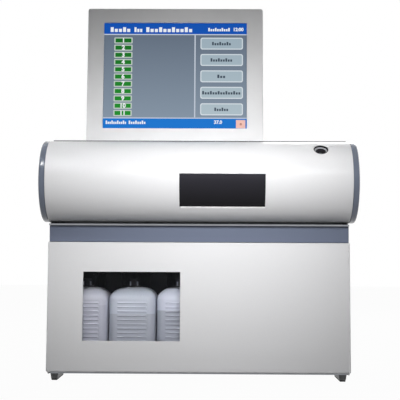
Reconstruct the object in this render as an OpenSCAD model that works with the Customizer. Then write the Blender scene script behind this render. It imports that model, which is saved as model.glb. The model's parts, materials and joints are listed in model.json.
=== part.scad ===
// Blood gas analyzer: barrel hood over the fluidics bay, reagent drawer below, tilting display on top.
// Millimetres. +X to the operator's right, -Y towards the operator, +Z up.
// The origin lies on the bench, under the middle of the whole box.

/* [Cabinet] */
// Width over the two side panels
cabinet_w = 422; // [410:1:430]
// Front plane of the cabinet, ahead of the origin
cabinet_front = 120; // [118:1:124]
// Rear panel's outer face, behind the origin
cabinet_back = 160; // [150:1:200]
// Top face of the deck above the bench
deck_z = 336.5; // [334:0.5:345]
// Sheet metal of the cabinet
sheet_t = 2; // [1.5:0.25:2.5]
// Length of the rubber bumpers on the rear panel
bumper_len = 10; // [6:1:16]
// Radius of a rear bumper
bumper_r = 8; // [6:1:12]

/* [Skids] */
// Height of a skid with its rubber pads
skid_h = 9.5; // [8:0.5:12]
// Width of a skid at its top
skid_w = 11.2; // [9:0.2:14]
// Width of a skid at its foot
skid_foot_w = 8.8; // [6:0.2:9]
// Centre of a skid in from the cabinet's side
skid_in = 9; // [8:0.5:20]
// Thickness of the rubber pads
pad_t = 1.8; // [1:0.2:3]
// Length of one rubber pad
pad_len = 60; // [30:5:100]

/* [Hood] */
// Outer radius of the barrel
hood_r = 57.5; // [56:0.5:60]
// Wall of the hood
hood_t = 2.5; // [2:0.25:3]
// Barrel axis behind the cabinet's front plane
hood_axis_back = 7.5; // [6:0.5:9]
// Angle below the level at which the hood ends
hood_low_angle = 80; // [76:1:82]
// Gap between the hood's end and an end cap
hood_gap = 0.5; // [0.3:0.1:1]
// Depth of the stiffening lip along the hood's lower edge
hood_lip = 5; // [3:0.5:7]
// Clearance between the hood's wall and the ears of the side panels
ear_gap = 1.5; // [1:0.25:2.5]
// Thickness of an end cap
cap_t = 8.4; // [6:0.2:12]
// Rounding of an end cap's rim
cap_round = 3; // [1:0.5:4]

/* [Hood window] */
// Width of the window opening
view_w = 117.7; // [80:1:140]
// Centre of the window from the middle of the hood
view_x = 32.2; // [0:1:40]
// Upper edge, in degrees above the level
view_top = 8; // [0:1:14]
// Lower edge, in degrees below the level
view_low = 41.4; // [30:1:50]
// Thickness of the smoked pane
pane_t = 2.2; // [1.5:0.1:3]
// Overlap of a pane behind the edge of its opening
pane_lap = 6; // [4:1:10]

/* [Sample port] */
// Radius of the port opening in the hood
port_r = 10.3; // [9:0.1:12]
// Centre of the port in from the cabinet's right side
port_in = 42.6; // [36:0.2:50]
// Angle of the port above the level
port_angle = 49.6; // [44:1:54]
// Radius of the throat at the bottom of the port's funnel
throat_r = 4; // [3.5:0.1:5]
// Radius of the sample inlet's shank
inlet_r = 5; // [4:0.25:6]

/* [Hood hinge] */
// Radius of the continuous hinge's knuckles
knuckle_r = 2.25; // [2.2:0.05:2.5]
// Radius of the hinge pin
pin_r = 1.1; // [0.8:0.1:1.3]
// Radial running clearance of pins and shafts
run_gap = 0.05; // [0.03:0.01:0.08]
// Number of knuckles, counting both leaves
knuckle_count = 9; // [5:2:13]
// Gap between neighbouring knuckles
knuckle_gap = 0.4; // [0.3:0.1:0.8]

/* [Band and sill] */
// Height of the coloured band
band_h = 23; // [18:1:26]
// Thickness of the band
band_t = 3; // [2:0.5:4]
// Half width that the band and the sill are short of the cabinet
band_inset = 0.7; // [0:0.1:2]
// Thickness of the shelf whose front edge is the sill
sill_t = 2.5; // [2:0.25:3]
// Reach of the sill ahead of the cabinet's front plane
sill_reach = 6.5; // [4:0.5:8]
// Dark gap between the sill and the hood's lower edge
sill_gap = 2.9; // [2:0.1:4]

/* [Drawer front] */
// Lower edge of the drawer front above the bench
cover_low = 13.6; // [12.5:0.1:15]
// Gap between the drawer front and the band
cover_gap = 0.6; // [0.4:0.1:1.5]
// How far the front stands out at its top
cover_top_out = 8.5; // [6:0.5:12]
// How far the front stands out at its bottom
cover_low_out = 16; // [13:0.5:20]
// Wall of the drawer front
cover_t = 2.5; // [2:0.25:3]
// Depth of the lip turned in behind the drawer front
cover_lip = 20; // [18:1:24]
// Gap between the drawer front's lip and the cabinet
front_gap = 0.5; // [0.3:0.1:1]
// Width of the bottle window
shop_w = 135.5; // [110:1:150]
// Height of the bottle window
shop_h = 95.5; // [80:1:100]
// Centre of the bottle window from the middle of the drawer
shop_x = -93.4; // [-110:1:-80]
// Lower edge of the bottle window above the bench
shop_low = 56.7; // [54:1:62]

/* [Drawer] */
// Depth of the tray from front to back
tray_d = 176; // [150:2:190]
// Wall of the tray
tray_t = 1.5; // [1:0.25:2]
// Underside of the tray above the base plate
tray_rise = 4.5; // [3:0.5:6]
// Height of the tray's front and rear walls
tray_wall_h = 32; // [20:1:36]
// Room on each side for the telescopic slides
slide_w = 10.5; // [9.5:0.5:11]
// Height of a slide
slide_h = 36; // [30:1:44]
// Lower edge of the slides above the bench
slide_low = 42; // [38:1:56]
// Wall of a slide's rails
rail_t = 1.4; // [1:0.1:1.6]
// Running gap between the rails of a slide
rail_gap = 0.4; // [0.3:0.05:0.5]

/* [Bottles] */
// Width of a reagent bottle
bottle_w = 66.5; // [60:0.5:67]
// Depth of a reagent bottle
bottle_d = 80; // [70:1:84]
// Height of a reagent bottle without its neck
bottle_h = 111.5; // [105:0.5:118]
// Distance from bottle to bottle
bottle_pitch = 68; // [68:0.5:70]
// Centre of the middle bottle from the middle of the drawer
bottle_x = -94.3; // [-95:0.5:-92]
// Front face of the bottles behind the cabinet's front plane
bottle_back = 10; // [8:1:12]
// Radius of a bottle's upright edges
bottle_edge_r = 12; // [8:1:16]
// Radius of a bottle's shoulders
shoulder_r = 17; // [13:1:22]
// Wall of a bottle
bottle_t = 1.4; // [1:0.1:2]
// Radius of a bottle's neck
neck_r = 6.2; // [5:0.2:8]
// Radius of a bottle cap
bottle_cap_r = 7.6; // [7:0.2:10]
// Height of a bottle cap
bottle_cap_h = 12.4; // [10:0.2:16]
// Distance between the moulded grip ribs
rib_pitch = 6; // [4:0.5:8]
// Length of a grip rib
rib_len = 41.5; // [30:1:44]
// Radius of a grip rib
rib_r = 1.6; // [1:0.1:2.4]
// Liquid level above the bottle's inner floor
fill_h = 74; // [20:1:88]
// Radius of a pick-up tube
tube_r = 1.6; // [1.2:0.1:2.4]

/* [Waste and gas] */
// Width of the waste container
waste_w = 94; // [70:1:95]
// Height of the waste container's body
waste_h = 118; // [90:1:124]
// Radius of a gas cartridge
gas_r = 26; // [20:0.5:28]
// Height of a gas cartridge's cylinder
gas_h = 96; // [80:1:104]

/* [Display] */
// Housing on each side of the screen
screen_side = 23.8; // [20:0.2:32]
// Housing above and below the screen
screen_rim = 21.45; // [18:0.05:28]
// Centre of the display from the middle of the cabinet
display_x = -36.8; // [-60:1:60]
// Lean of the display, in degrees
display_lean = 3; // [0:0.5:8]
// Lower front edge of the display behind the cabinet's front plane
display_back = 45; // [42:1:60]
// Lower front edge of the display above the deck
display_rise = 3; // [2.4:0.1:5]
// Depth of the front housing
bezel_d = 18; // [14:1:22]
// Wall of the display housing
bezel_t = 2.5; // [2:0.25:3]
// Corner radius of the display housing
bezel_r = 3.5; // [2:0.5:10]
// Width of the screen, a 10.4 inch 4:3 panel
screen_w = 211.2; // [200:0.1:216]
// Height of the screen
screen_h = 158.4; // [150:0.1:162]
// Depth of the swelling behind the display
bulge_d = 20; // [16:1:26]
// Radius of the tilt shaft
tilt_r = 4; // [3:0.25:5]
// Radius of the lugs and ears round the tilt shaft
tilt_lug_r = 8; // [7:0.5:8.5]

/* [Fluidics] */
// Pump axis in from the cabinet's left side
pump_in = 61; // [46:1:71]
// Pump axis below the barrel axis
pump_drop = 9; // [5:1:13]
// Radius of the pump's track
track_r = 21.5; // [20:0.5:23]
// Radius of the pump hose
hose_r = 1.5; // [1.2:0.1:1.8]
// Radius of a pump roller
roller_r = 4; // [3:0.25:5]
// Radius of the pump shaft
shaft_r = 3; // [2.5:0.25:4]
// Number of electrodes in the measuring chamber
electrode_count = 8; // [4:1:8]
// Radius of an electrode
electrode_r = 4.6; // [3.5:0.1:5]

/* [Rear] */
// Radius of the fan's bore
fan_r = 23; // [20:0.5:24]
// Depth of the fan
fan_d = 15; // [12:1:20]
// Number of fan blades
blade_count = 7; // [5:1:9]
// Throw of the power rocker, in degrees
rocker_throw = 16; // [10:1:20]

/* [Hidden] */
$fn = 48;

SILVER = [0.80, 0.80, 0.81];
BLUE_GREY = [0.40, 0.43, 0.50];
DARK = [0.12, 0.12, 0.13];
STEEL = [0.66, 0.67, 0.69];
MILKY = [0.86, 0.88, 0.93];

// Small overlap that keeps a cut open at its ends
cut = 1;
// Flat contact gap between seated pieces on curved faces
seat = 0.05;

half_w = cabinet_w / 2;
inner_w = half_w - sheet_t;
skid_x = half_w - skid_in;
port_x = half_w - port_in;
front_y = -cabinet_front;
back_y = cabinet_back;
base_top = skid_h + sheet_t;
axis_y = front_y + hood_axis_back;
axis_z = deck_z - hood_r;
ear_r = hood_r - hood_t - ear_gap;
hood_half = half_w - hood_gap;
sill_top = axis_z - hood_r * sin(hood_low_angle) - sill_gap;
shelf_z = sill_top - sill_t;
band_low = shelf_z - band_h;
cover_top = band_low - cover_gap;
deck_low = deck_z - sheet_t;
backplate_y = axis_y + hood_r - sheet_t - 1;
backplate_back = backplate_y + sheet_t;

// Hood hinge: the pin lies just behind the hood's rear edge, level with the deck
hinge_y = axis_y + knuckle_r + 0.75;
hinge_z = deck_z - 0.3;
hinge_half = inner_w - 1;
leaf_t = 1.2;
leaf_angle = 12;
knuckle_len = 2 * hinge_half / knuckle_count;
leaf_low = deck_low - leaf_t;

// Drawer
tray_half = inner_w - slide_w;
tray_low = base_top + tray_rise;
tray_floor = tray_low + tray_t;
tray_front = front_y - front_gap;
tray_back = tray_front + tray_d;
rail_front = front_y + 2;
rail_back = tray_back - 4;
rail_mid_web = inner_w - rail_t - rail_gap;
outer_half = slide_h / 2;
mid_half = outer_half - rail_t - rail_gap;
inner_half = mid_half - rail_t - rail_gap;
bottle_front = front_y + bottle_back;
bottle_rear = bottle_front + bottle_d;
bottle_mid_y = (bottle_front + bottle_rear) / 2;
bottle_xs = [bottle_x - bottle_pitch, bottle_x, bottle_x + bottle_pitch];
bottle_top = tray_floor + bottle_h;
cap_low = bottle_top - 0.6;
board_y = bottle_rear + 4;
board_t = 4;
board_top = shelf_z - 38;
waste_x = bottle_xs[2] + bottle_w / 2 + 1.2 + waste_w / 2;
waste_top = tray_floor + waste_h;
waste_neck_r = 14;
gas_x = waste_x + waste_w / 2 + 8 + gas_r;

// Display: its own frame has the origin at the lower front edge, on the centre line
display_w = screen_w + 2 * screen_side;
display_h = screen_h + 2 * screen_rim;
display_y = front_y + display_back;
display_z = deck_z + display_rise;
tilt_y = bezel_d + bezel_t + tilt_lug_r + 1.5;
tilt_z = 14;
pivot_y = display_y + tilt_y * cos(display_lean) + tilt_z * sin(display_lean);
pivot_z = display_z - tilt_y * sin(display_lean) + tilt_z * cos(display_lean);

cable_slot = [30, 8];
cable_back = 24;
lug_x = 40;
lug_w = 14;
shaft_half = lug_x + 22;

// Fluidics
pump_x = -half_w + pump_in;
pump_z = axis_z - pump_drop;
pump_front = axis_y - 25.5;
pump_half = track_r + 7.5;
track_d = 18;
hose_ring_r = track_r - hose_r - 0.1;
roller_ring_r = hose_ring_r - hose_r - 0.5 - roller_r;
chamber_x = [-22, 86];
chamber_z = [axis_z - 37, axis_z + 11];
chamber_front = axis_y - 16;
valve_x = [-95, -35];
valve_z = [axis_z - 47, axis_z - 23];
valve_front = axis_y + 4;
sampler_z = [axis_z - 17, axis_z + 19];
sampler_front = axis_y - 14;
electrode_pitch = (chamber_x[1] - chamber_x[0] - 8) / electrode_count;
electrode_z = (chamber_z[0] + chamber_z[1]) / 2 - 2;

// Rear panel
fan_x = -half_w + 61;
fan_z = deck_z - 51.5;
inlet_x = half_w - 61;
inlet_z = deck_z - 80.5;
rocker_z = inlet_z + 32;
rocker_y = back_y - 3;
inlet_size = [32, 66];
inlet_mid = (inlet_z - 15 + rocker_z + 19) / 2;
ports_x = 10;
ports_z = deck_z - 86.5;
ports_size = [92, 32];
fit_gaps = [0.8, 0.8];
slot_w = 3.5;
slot_pitch = 8;
vent_low = base_top + 48.5;
vent_high = deck_z - 86.5;
trunnion_r = 1.5;
board_x = -half_w + 61;
board_y0 = back_y - 140;
supply_x = half_w - 151;
supply_y = back_y - 160;

// Block between two corners, given as ranges along X, Y and Z
module block(x, y, z) {
    translate([x[0], y[0], z[0]]) cube([x[1] - x[0], y[1] - y[0], z[1] - z[0]]);
}

// Outline in (Y, Z) extruded along X
module along_x(x0, x1) {
    translate([x0, 0, 0]) rotate([90, 0, 90]) linear_extrude(x1 - x0) children();
}

// Outline in (X, Z) extruded along Y
module along_y(y0, y1) {
    translate([0, y1, 0]) rotate([90, 0, 0]) linear_extrude(y1 - y0) children();
}

// Round bar along Y, and along X
module bar_y(x, z, y0, y1, r) {
    translate([x, y1, z]) rotate([90, 0, 0]) cylinder(r = r, h = y1 - y0);
}
module bar_x(y, z, x0, x1, r) {
    translate([x0, y, z]) rotate([0, 90, 0]) cylinder(r = r, h = x1 - x0);
}

// Rectangle with round corners, centred
module round_rect(w, h, r) {
    square([w - 2 * r, h], center = true);
    square([w, h - 2 * r], center = true);
    for (sx = [-1, 1], sy = [-1, 1])
        translate([sx * (w / 2 - r), sy * (h / 2 - r)]) circle(r);
}

// Part of a ring in (Y, Z) about the barrel axis, between two angles above the level at the front
module barrel_ring(r_in, r_out, a0, a1) {
    steps = 4;
    reach = 1.6 * r_out;
    translate([axis_y, axis_z]) intersection() {
        difference() {
            circle(r_out);
            circle(r_in);
        }
        polygon(concat([[0, 0]], [for (i = [0:steps])
            let (a = a0 + (a1 - a0) * i / steps) [-reach * cos(a), reach * sin(a)]]));
    }
}

// Children drawn along +Z are turned to stand on the sample port's axis, from the barrel axis outwards
module on_port_axis() {
    translate([port_x, axis_y, axis_z]) rotate([90 - port_angle, 0, 0]) children();
}

// Children in the display's own frame
module in_display() {
    translate([display_x, display_y, display_z]) rotate([-display_lean, 0, 0]) children();
}

// Air slots of one length, centred across and stacked upwards
module louvres(len, count) {
    for (i = [0:count - 1]) translate([-len / 2, i * slot_pitch]) square([len, slot_w]);
}

module base_plate() {
    setback = 4;
    color(STEEL) difference() {
        block([-inner_w, inner_w], [front_y + setback, back_y], [skid_h, base_top]);
        for (sx = [-1, 1]) translate([0, 0, skid_h - cut]) linear_extrude(sheet_t + 2 * cut)
            translate([sx * 90, back_y - 100]) louvres(50, 8);
    }
}

module skids() {
    skid_z = skid_h - pad_t;
    color([0.48, 0.48, 0.49]) for (sx = [-1, 1]) translate([sx * skid_x, 0, 0])
        along_y(front_y + 5, back_y - 6)
            polygon([[-skid_foot_w / 2, pad_t], [skid_foot_w / 2, pad_t],
                     [skid_w / 2, skid_h], [-skid_w / 2, skid_h]]);
}

module foot_pads() {
    color(DARK) for (sx = [-1, 1], y = [front_y + 5, back_y - 6 - pad_len])
        translate([sx * skid_x - skid_foot_w / 2 + 0.4, y, 0]) cube([skid_foot_w - 0.8, pad_len, pad_t]);
}

module side_outline() {
    difference() {
        union() {
            translate([front_y, skid_h]) square([back_y - front_y, band_low - skid_h]);
            translate([front_y + band_t, skid_h]) square([back_y - front_y - band_t, shelf_z - skid_h]);
            translate([hinge_y, skid_h]) square([back_y - hinge_y, deck_z - skid_h]);
            translate([axis_y, axis_z]) circle(ear_r);
        }
        for (z = [vent_low, vent_high]) translate([back_y - 55, z]) louvres(70, 7);
    }
}

module left_side_panel() {
    color(SILVER) along_x(-half_w, -inner_w) side_outline();
}

module right_side_panel() {
    color(SILVER) along_x(inner_w, half_w) side_outline();
}

// Finger guard cut into the rear panel: rings on a cross
module fan_guard_outline() {
    for (r = [8, 13, 18]) difference() {
        circle(r);
        circle(r - 1.6);
    }
    for (a = [45, 135]) rotate(a) square([2 * fan_r + 2, 1.8], center = true);
}

module rear_panel() {
    color(SILVER) difference() {
        along_y(back_y - sheet_t, back_y) difference() {
            translate([-inner_w, base_top]) square([2 * inner_w, deck_low - base_top]);
            translate([fan_x, fan_z]) difference() {
                circle(fan_r);
                fan_guard_outline();
            }
            translate([inlet_x, inlet_mid]) square([inlet_size[0], inlet_size[1]] + fit_gaps, center = true);
            translate([ports_x, ports_z]) square(ports_size + fit_gaps, center = true);
            for (x = [-110, 0, 110]) translate([x, vent_low]) louvres(80, 9);
        }
    }
}

// Deck with the slot for the cable of the display
module top_deck() {
    color(SILVER) difference() {
        block([-inner_w, inner_w], [hinge_y + knuckle_r + 0.25, back_y], [deck_low, deck_z]);
        display_cable_slot();
    }
}

// Slot that passes the display's cable through the stand and the deck
module display_cable_slot() {
    translate([display_x, pivot_y + cable_back, 0])
        block([-cable_slot[0] / 2, cable_slot[0] / 2], [-cable_slot[1] / 2, cable_slot[1] / 2],
              [deck_low - cut, deck_z + 10]);
}

// Round cap with a rolled rim, drawn along +Z from its seat
module end_cap() {
    rotate_extrude() {
        square([hood_r, cap_t - cap_round]);
        square([hood_r - cap_round, cap_t]);
        translate([hood_r - cap_round, cap_t - cap_round]) circle(cap_round);
    }
}

module left_end_cap() {
    color(BLUE_GREY) translate([-half_w, axis_y, axis_z]) rotate([0, -90, 0]) end_cap();
}

module right_end_cap() {
    color(BLUE_GREY) translate([half_w, axis_y, axis_z]) rotate([0, 90, 0]) end_cap();
}

module trim_band() {
    color(BLUE_GREY) block([-half_w + band_inset, half_w - band_inset], [front_y, front_y + band_t],
                           [band_low, shelf_z]);
}

module front_crossbar() {
    y = front_y + band_t;
    flange = 20;
    color(STEEL) {
        block([-inner_w, inner_w], [y, y + sheet_t], [band_low, shelf_z]);
        for (z = [band_low, shelf_z - sheet_t])
            block([-inner_w, inner_w], [y, y + flange], [z, z + sheet_t]);
    }
}

module bay_shelf() {
    color(STEEL) {
        block([-inner_w, inner_w], [front_y - sill_reach, back_y - sheet_t], [shelf_z, sill_top]);
        block([-half_w + band_inset, half_w - band_inset], [front_y - sill_reach, hinge_y - 1],
              [shelf_z, sill_top]);
    }
}

module bay_backplate() {
    color(STEEL) difference() {
        block([-inner_w, inner_w], [backplate_y, backplate_back], [sill_top, deck_low]);
        bar_y(pump_x, pump_z, backplate_y - cut, backplate_back + cut, shaft_r + 2);
    }
}

// Rails of one telescopic slide, seen along Y: a channel with its web outside or inside
module rail(side, web_out, web_in, tip, half_h) {
    z_mid = slide_low + slide_h / 2;
    x_lo = min(web_in, tip);
    x_hi = max(web_out, tip);
    along_y(rail_front, rail_back) {
        translate([0, z_mid]) {
            translate([side > 0 ? web_in : -web_out, -half_h]) square([web_out - web_in, 2 * half_h]);
            for (z = [-half_h, half_h - rail_t])
                translate([side > 0 ? x_lo : -x_hi, z]) square([x_hi - x_lo, rail_t]);
        }
    }
}

module outer_rails() {
    color(STEEL) for (side = [-1, 1])
        rail(side, inner_w, inner_w - rail_t, tray_half + rail_gap, outer_half);
}

module mid_rails() {
    color(STEEL) for (side = [-1, 1])
        rail(side, rail_mid_web, rail_mid_web - rail_t, tray_half + rail_t + rail_gap, mid_half);
}

module inner_rails() {
    color(STEEL) for (side = [-1, 1])
        rail(side, tray_half + rail_t, tray_half, rail_mid_web - rail_t - rail_gap, inner_half);
}

module rear_bumpers() {
    color(DARK) for (sx = [-1, 1], z = [base_top + 28.5, deck_z - 26.5])
        bar_y(sx * (half_w - 26), z, back_y, back_y + bumper_len, bumper_r);
}

module case_screws() {
    head_r = 3.2;
    head_h = 2;
    color(STEEL) {
        for (share = [-1, -0.35, 0.35, 1], z = [base_top + 10.5, deck_z - 11.5])
            bar_y(share * (half_w - 11), z, back_y, back_y + head_h, head_r);
        for (sx = [-1, 1], y = [front_y + 30, (front_y + back_y) / 2, back_y - 30],
             z = [base_top + 12.5, shelf_z - 17])
            bar_x(y, z, sx > 0 ? half_w : -half_w - head_h, sx > 0 ? half_w + head_h : -half_w, head_r);
    }
}

// Hood
module hood_shell() {
    color(SILVER) difference() {
        union() {
            along_x(-hood_half, hood_half) barrel_ring(hood_r - hood_t, hood_r, -hood_low_angle, 90);
            along_x(-inner_w + 2, inner_w - 2)
                barrel_ring(hood_r - hood_t - hood_lip, hood_r - hood_t / 2,
                            -hood_low_angle, -hood_low_angle + 2.5);
        }
        along_x(view_x - view_w / 2, view_x + view_w / 2)
            barrel_ring(hood_r - 2 * hood_t, hood_r + cut, -view_low, view_top);
        on_port_axis() cylinder(r = port_r, h = hood_r + 5);
    }
}

module hood_window() {
    lap_angle = pane_lap / hood_r * 180 / PI;
    color(DARK) along_x(view_x - view_w / 2 - pane_lap, view_x + view_w / 2 + pane_lap)
        barrel_ring(hood_r - hood_t - seat - pane_t, hood_r - hood_t - seat,
                    -view_low - lap_angle, view_top + lap_angle);
}

module port_ring() {
    rim = hood_r - 0.6;
    flange_top = hood_r - hood_t - 1.6;
    funnel_low = hood_r - 7;
    color(DARK) on_port_axis() difference() {
        union() {
            translate([0, 0, flange_top - 4]) cylinder(r = port_r - seat, h = rim - flange_top + 4);
            translate([0, 0, flange_top - 1.5]) cylinder(r = port_r + 2.2, h = 1.5);
        }
        translate([0, 0, funnel_low]) cylinder(r1 = throat_r, r2 = port_r - 1, h = rim - funnel_low + 0.01);
        cylinder(r = throat_r, h = hood_r);
    }
}

// Every other knuckle of the continuous hinge, first at parity 0 or 1
module knuckles(parity, lug_y) {
    for (i = [parity:2:knuckle_count - 1]) {
        x0 = -hinge_half + i * knuckle_len + knuckle_gap / 2;
        x1 = x0 + knuckle_len - knuckle_gap;
        difference() {
            union() {
                bar_x(hinge_y, hinge_z, x0, x1, knuckle_r);
                block([x0, x1], lug_y, [leaf_low, hinge_z]);
            }
            bar_x(hinge_y, hinge_z, x0 - cut, x1 + cut, pin_r + run_gap);
        }
    }
}

module hinge_moving_leaf() {
    color(STEEL) {
        along_x(-hinge_half + 3, hinge_half - 3)
            barrel_ring(hood_r - hood_t - seat - leaf_t, hood_r - hood_t - seat, 90 - leaf_angle, 90);
        // Strip that joins the curved leaf to its knuckles behind the hood's edge
        along_x(-hinge_half + knuckle_len + knuckle_gap, hinge_half - knuckle_len - knuckle_gap)
            translate([axis_y - 0.5, axis_z + hood_r - hood_t - seat - leaf_t]) square([1, leaf_t]);
        knuckles(1, [axis_y + 0.1, hinge_y]);
    }
}

module hinge_fixed_leaf() {
    color(STEEL) {
        block([-hinge_half, hinge_half], [hinge_y + knuckle_r + 0.25, hinge_y + 18], [leaf_low, deck_low]);
        knuckles(0, [hinge_y, hinge_y + knuckle_r + 0.25]);
    }
}

module hinge_pin() {
    color(STEEL) bar_x(hinge_y, hinge_z, -hinge_half, hinge_half, pin_r);
}

// Pump: housing with a U-shaped track, open at its top for the hose
module pump_body() {
    half = pump_half;
    y0 = pump_front;
    y1 = backplate_y;
    color([0.20, 0.21, 0.23]) difference() {
        union() {
            block([pump_x - half, pump_x + half], [y0, y0 + track_d], [pump_z - half, pump_z + half]);
            bar_y(pump_x, pump_z, y0 + track_d - 1, y1, track_r);
        }
        along_y(y0 - cut, y0 + track_d - 4) translate([pump_x, pump_z]) {
            circle(track_r);
            translate([-track_r, 0]) square([2 * track_r, half + cut]);
        }
        bar_y(pump_x, pump_z, y0, y1 + cut, shaft_r + run_gap);
    }
}

module pump_motor() {
    color(STEEL) difference() {
        bar_y(pump_x, pump_z, backplate_back, backplate_back + 42, 20);
        bar_y(pump_x, pump_z, backplate_back - cut, backplate_back + 12, shaft_r + run_gap);
    }
}

module pump_rotor() {
    y0 = pump_front + 1;
    disc_r = roller_ring_r + 1.5;
    color([0.75, 0.75, 0.72]) {
        bar_y(pump_x, pump_z, y0, backplate_back + 10, shaft_r);
        difference() {
            union() {
                bar_y(pump_x, pump_z, y0, y0 + 1.5, disc_r);
                bar_y(pump_x, pump_z, y0 + 10.5, y0 + 12, disc_r);
                bar_y(pump_x, pump_z, y0 - 2, y0 + 12, shaft_r + 2);
            }
            for (a = [90, 210, 330])
                bar_y(pump_x + roller_ring_r * cos(a), pump_z + roller_ring_r * sin(a),
                      y0 + 1.5, y0 + 10.5, roller_r + 0.2);
        }
    }
}

module pump_rollers() {
    y0 = pump_front + 1;
    color(STEEL) for (a = [90, 210, 330])
        bar_y(pump_x + roller_ring_r * cos(a), pump_z + roller_ring_r * sin(a),
              y0 + 1.5, y0 + 10.5, roller_r);
}

module pump_hose() {
    y = pump_front + 7;
    bend = 7;
    rise = pump_z + track_r + 9;
    color([0.85, 0.84, 0.78]) {
        translate([pump_x, y, pump_z]) rotate([90, 0, 0]) rotate([0, 0, 180])
            rotate_extrude(angle = 180) translate([hose_ring_r, 0]) circle(hose_r);
        for (sx = [-1, 1]) translate([pump_x + sx * hose_ring_r, 0, 0]) {
            translate([0, y, pump_z]) cylinder(r = hose_r, h = rise - pump_z);
            translate([0, y + bend, rise]) rotate([90, 0, -90]) rotate_extrude(angle = 90)
                translate([bend, 0]) circle(hose_r);
            bar_y(0, rise + bend, y + bend, backplate_y, hose_r);
        }
    }
}

function electrode_at(i) = chamber_x[0] + 4 + (i + 0.5) * electrode_pitch;

module measuring_chamber() {
    color([0.72, 0.73, 0.75]) difference() {
        union() {
            block(chamber_x, [chamber_front, backplate_y], chamber_z);
            block([chamber_x[0] - 6, chamber_x[1] + 6], [backplate_y - 5, backplate_y],
                  [chamber_z[0] + 6, chamber_z[1] - 6]);
        }
        block([chamber_x[0] + 4, chamber_x[1] - 4], [chamber_front - cut, chamber_front + 3],
              [electrode_z + 10, electrode_z + 18]);
        for (i = [0:electrode_count - 1])
            bar_y(electrode_at(i), electrode_z, chamber_front - cut, chamber_front + 9, electrode_r + seat);
    }
}

module electrodes() {
    out = 15;
    color([0.55, 0.20, 0.18]) for (i = [0:electrode_count - 1]) {
        bar_y(electrode_at(i), electrode_z, chamber_front - out + 6, chamber_front + 9, electrode_r);
        bar_y(electrode_at(i), electrode_z, chamber_front - out, chamber_front - 2, electrode_r + 0.9);
    }
}

module valve_block() {
    color([0.86, 0.86, 0.84]) block(valve_x, [valve_front, backplate_y], valve_z);
}

module solenoid_valves() {
    color([0.15, 0.16, 0.18]) for (i = [0:3]) {
        x = valve_x[0] + 9 + i * 14;
        y = valve_front + 20;
        translate([x, y, valve_z[1]]) cylinder(r = 6, h = 24);
        translate([x, y, valve_z[1] + 24]) cylinder(r = 3, h = 4);
        block([x - 3, x + 3], [y + 4, y + 12], [valve_z[1] + 6, valve_z[1] + 18]);
    }
}

module sampler_block() {
    color([0.20, 0.21, 0.23]) difference() {
        block([port_x - 19, port_x + 19], [sampler_front, backplate_y], sampler_z);
        on_port_axis() translate([0, 0, 10]) cylinder(r = inlet_r + seat, h = 60);
    }
}

module sample_inlet() {
    color([0.90, 0.90, 0.88]) on_port_axis() difference() {
        union() {
            translate([0, 0, 10]) cylinder(r = inlet_r, h = hood_r - 22);
            translate([0, 0, hood_r - 12]) cylinder(r1 = inlet_r, r2 = inlet_r - 2.4, h = 3);
        }
        cylinder(r = 1, h = hood_r);
    }
}

module fluid_lines() {
    y = valve_front + 12;
    x_sampler = port_x - 19;
    color([0.88, 0.88, 0.86]) {
        bar_x(y, valve_z[0] + 14, valve_x[1], chamber_x[0], tube_r);
        bar_x(y, valve_z[0] + 18.5, valve_x[1], chamber_x[0], tube_r);
        bar_x(y, sampler_z[0] + 6, chamber_x[1], x_sampler, tube_r);
        bar_x(y, valve_z[0] + 17, pump_x + pump_half, valve_x[0], tube_r);
    }
}

module main_board() {
    post_h = 8;
    board_w = 170;
    board_d = 130;
    board_t = 1.6;
    chips = [[60, 40, 40, 40, 5], [15, 20, 25, 80, 8], [120, 90, 30, 25, 11]];
    color([0.10, 0.32, 0.20]) translate([board_x, board_y0, sill_top]) {
        translate([0, 0, post_h]) cube([board_w, board_d, board_t]);
        for (x = [8, board_w - 8], y = [8, board_d - 8]) translate([x, y, 0]) cylinder(r = 3, h = post_h);
        for (c = chips) translate([c[0], c[1], post_h + 1]) cube([c[2], c[3], c[4]]);
    }
}

module power_supply() {
    supply = [120, 110, 42];
    vent_depth = 3;
    color([0.70, 0.71, 0.73]) difference() {
        translate([supply_x, supply_y, sill_top]) cube(supply);
        for (i = [0:9]) translate([supply_x + 15 + i * 9, supply_y + 20, sill_top + supply[2] - vent_depth])
            cube([4, supply[1] - 40, vent_depth + cut]);
    }
}

module fan_housing() {
    y1 = back_y - sheet_t;
    y0 = y1 - fan_d;
    color(DARK) {
        along_y(y0, y1) translate([fan_x, fan_z]) difference() {
            round_rect(2 * fan_r + 4, 2 * fan_r + 4, 3);
            circle(fan_r);
        }
        along_y(y1 - 2, y1) translate([fan_x, fan_z]) {
            circle(8);
            for (a = [30, 150, 270]) rotate(a) translate([0, -1.5]) square([fan_r + 1, 3]);
        }
        bar_y(fan_x, fan_z, y0 + 2, y1 - 1, 1.5);
    }
}

module fan_impeller() {
    y1 = back_y - sheet_t - 2.4;
    y0 = back_y - sheet_t - fan_d + 1;
    hub_r = 9;
    color([0.17, 0.17, 0.18]) difference() {
        union() {
            bar_y(fan_x, fan_z, y0, y1, hub_r);
            for (i = [0:blade_count - 1])
                translate([fan_x, y0 + 1, fan_z]) rotate([0, i * 360 / blade_count, 0])
                    translate([0, 5, 0]) rotate([35, 0, 0]) translate([hub_r - 1, -4.5, -0.7])
                        cube([fan_r - hub_r - 1, 9, 1.4]);
        }
        bar_y(fan_x, fan_z, y0 + 1, y1 + cut, 1.5 + run_gap);
    }
}

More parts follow.
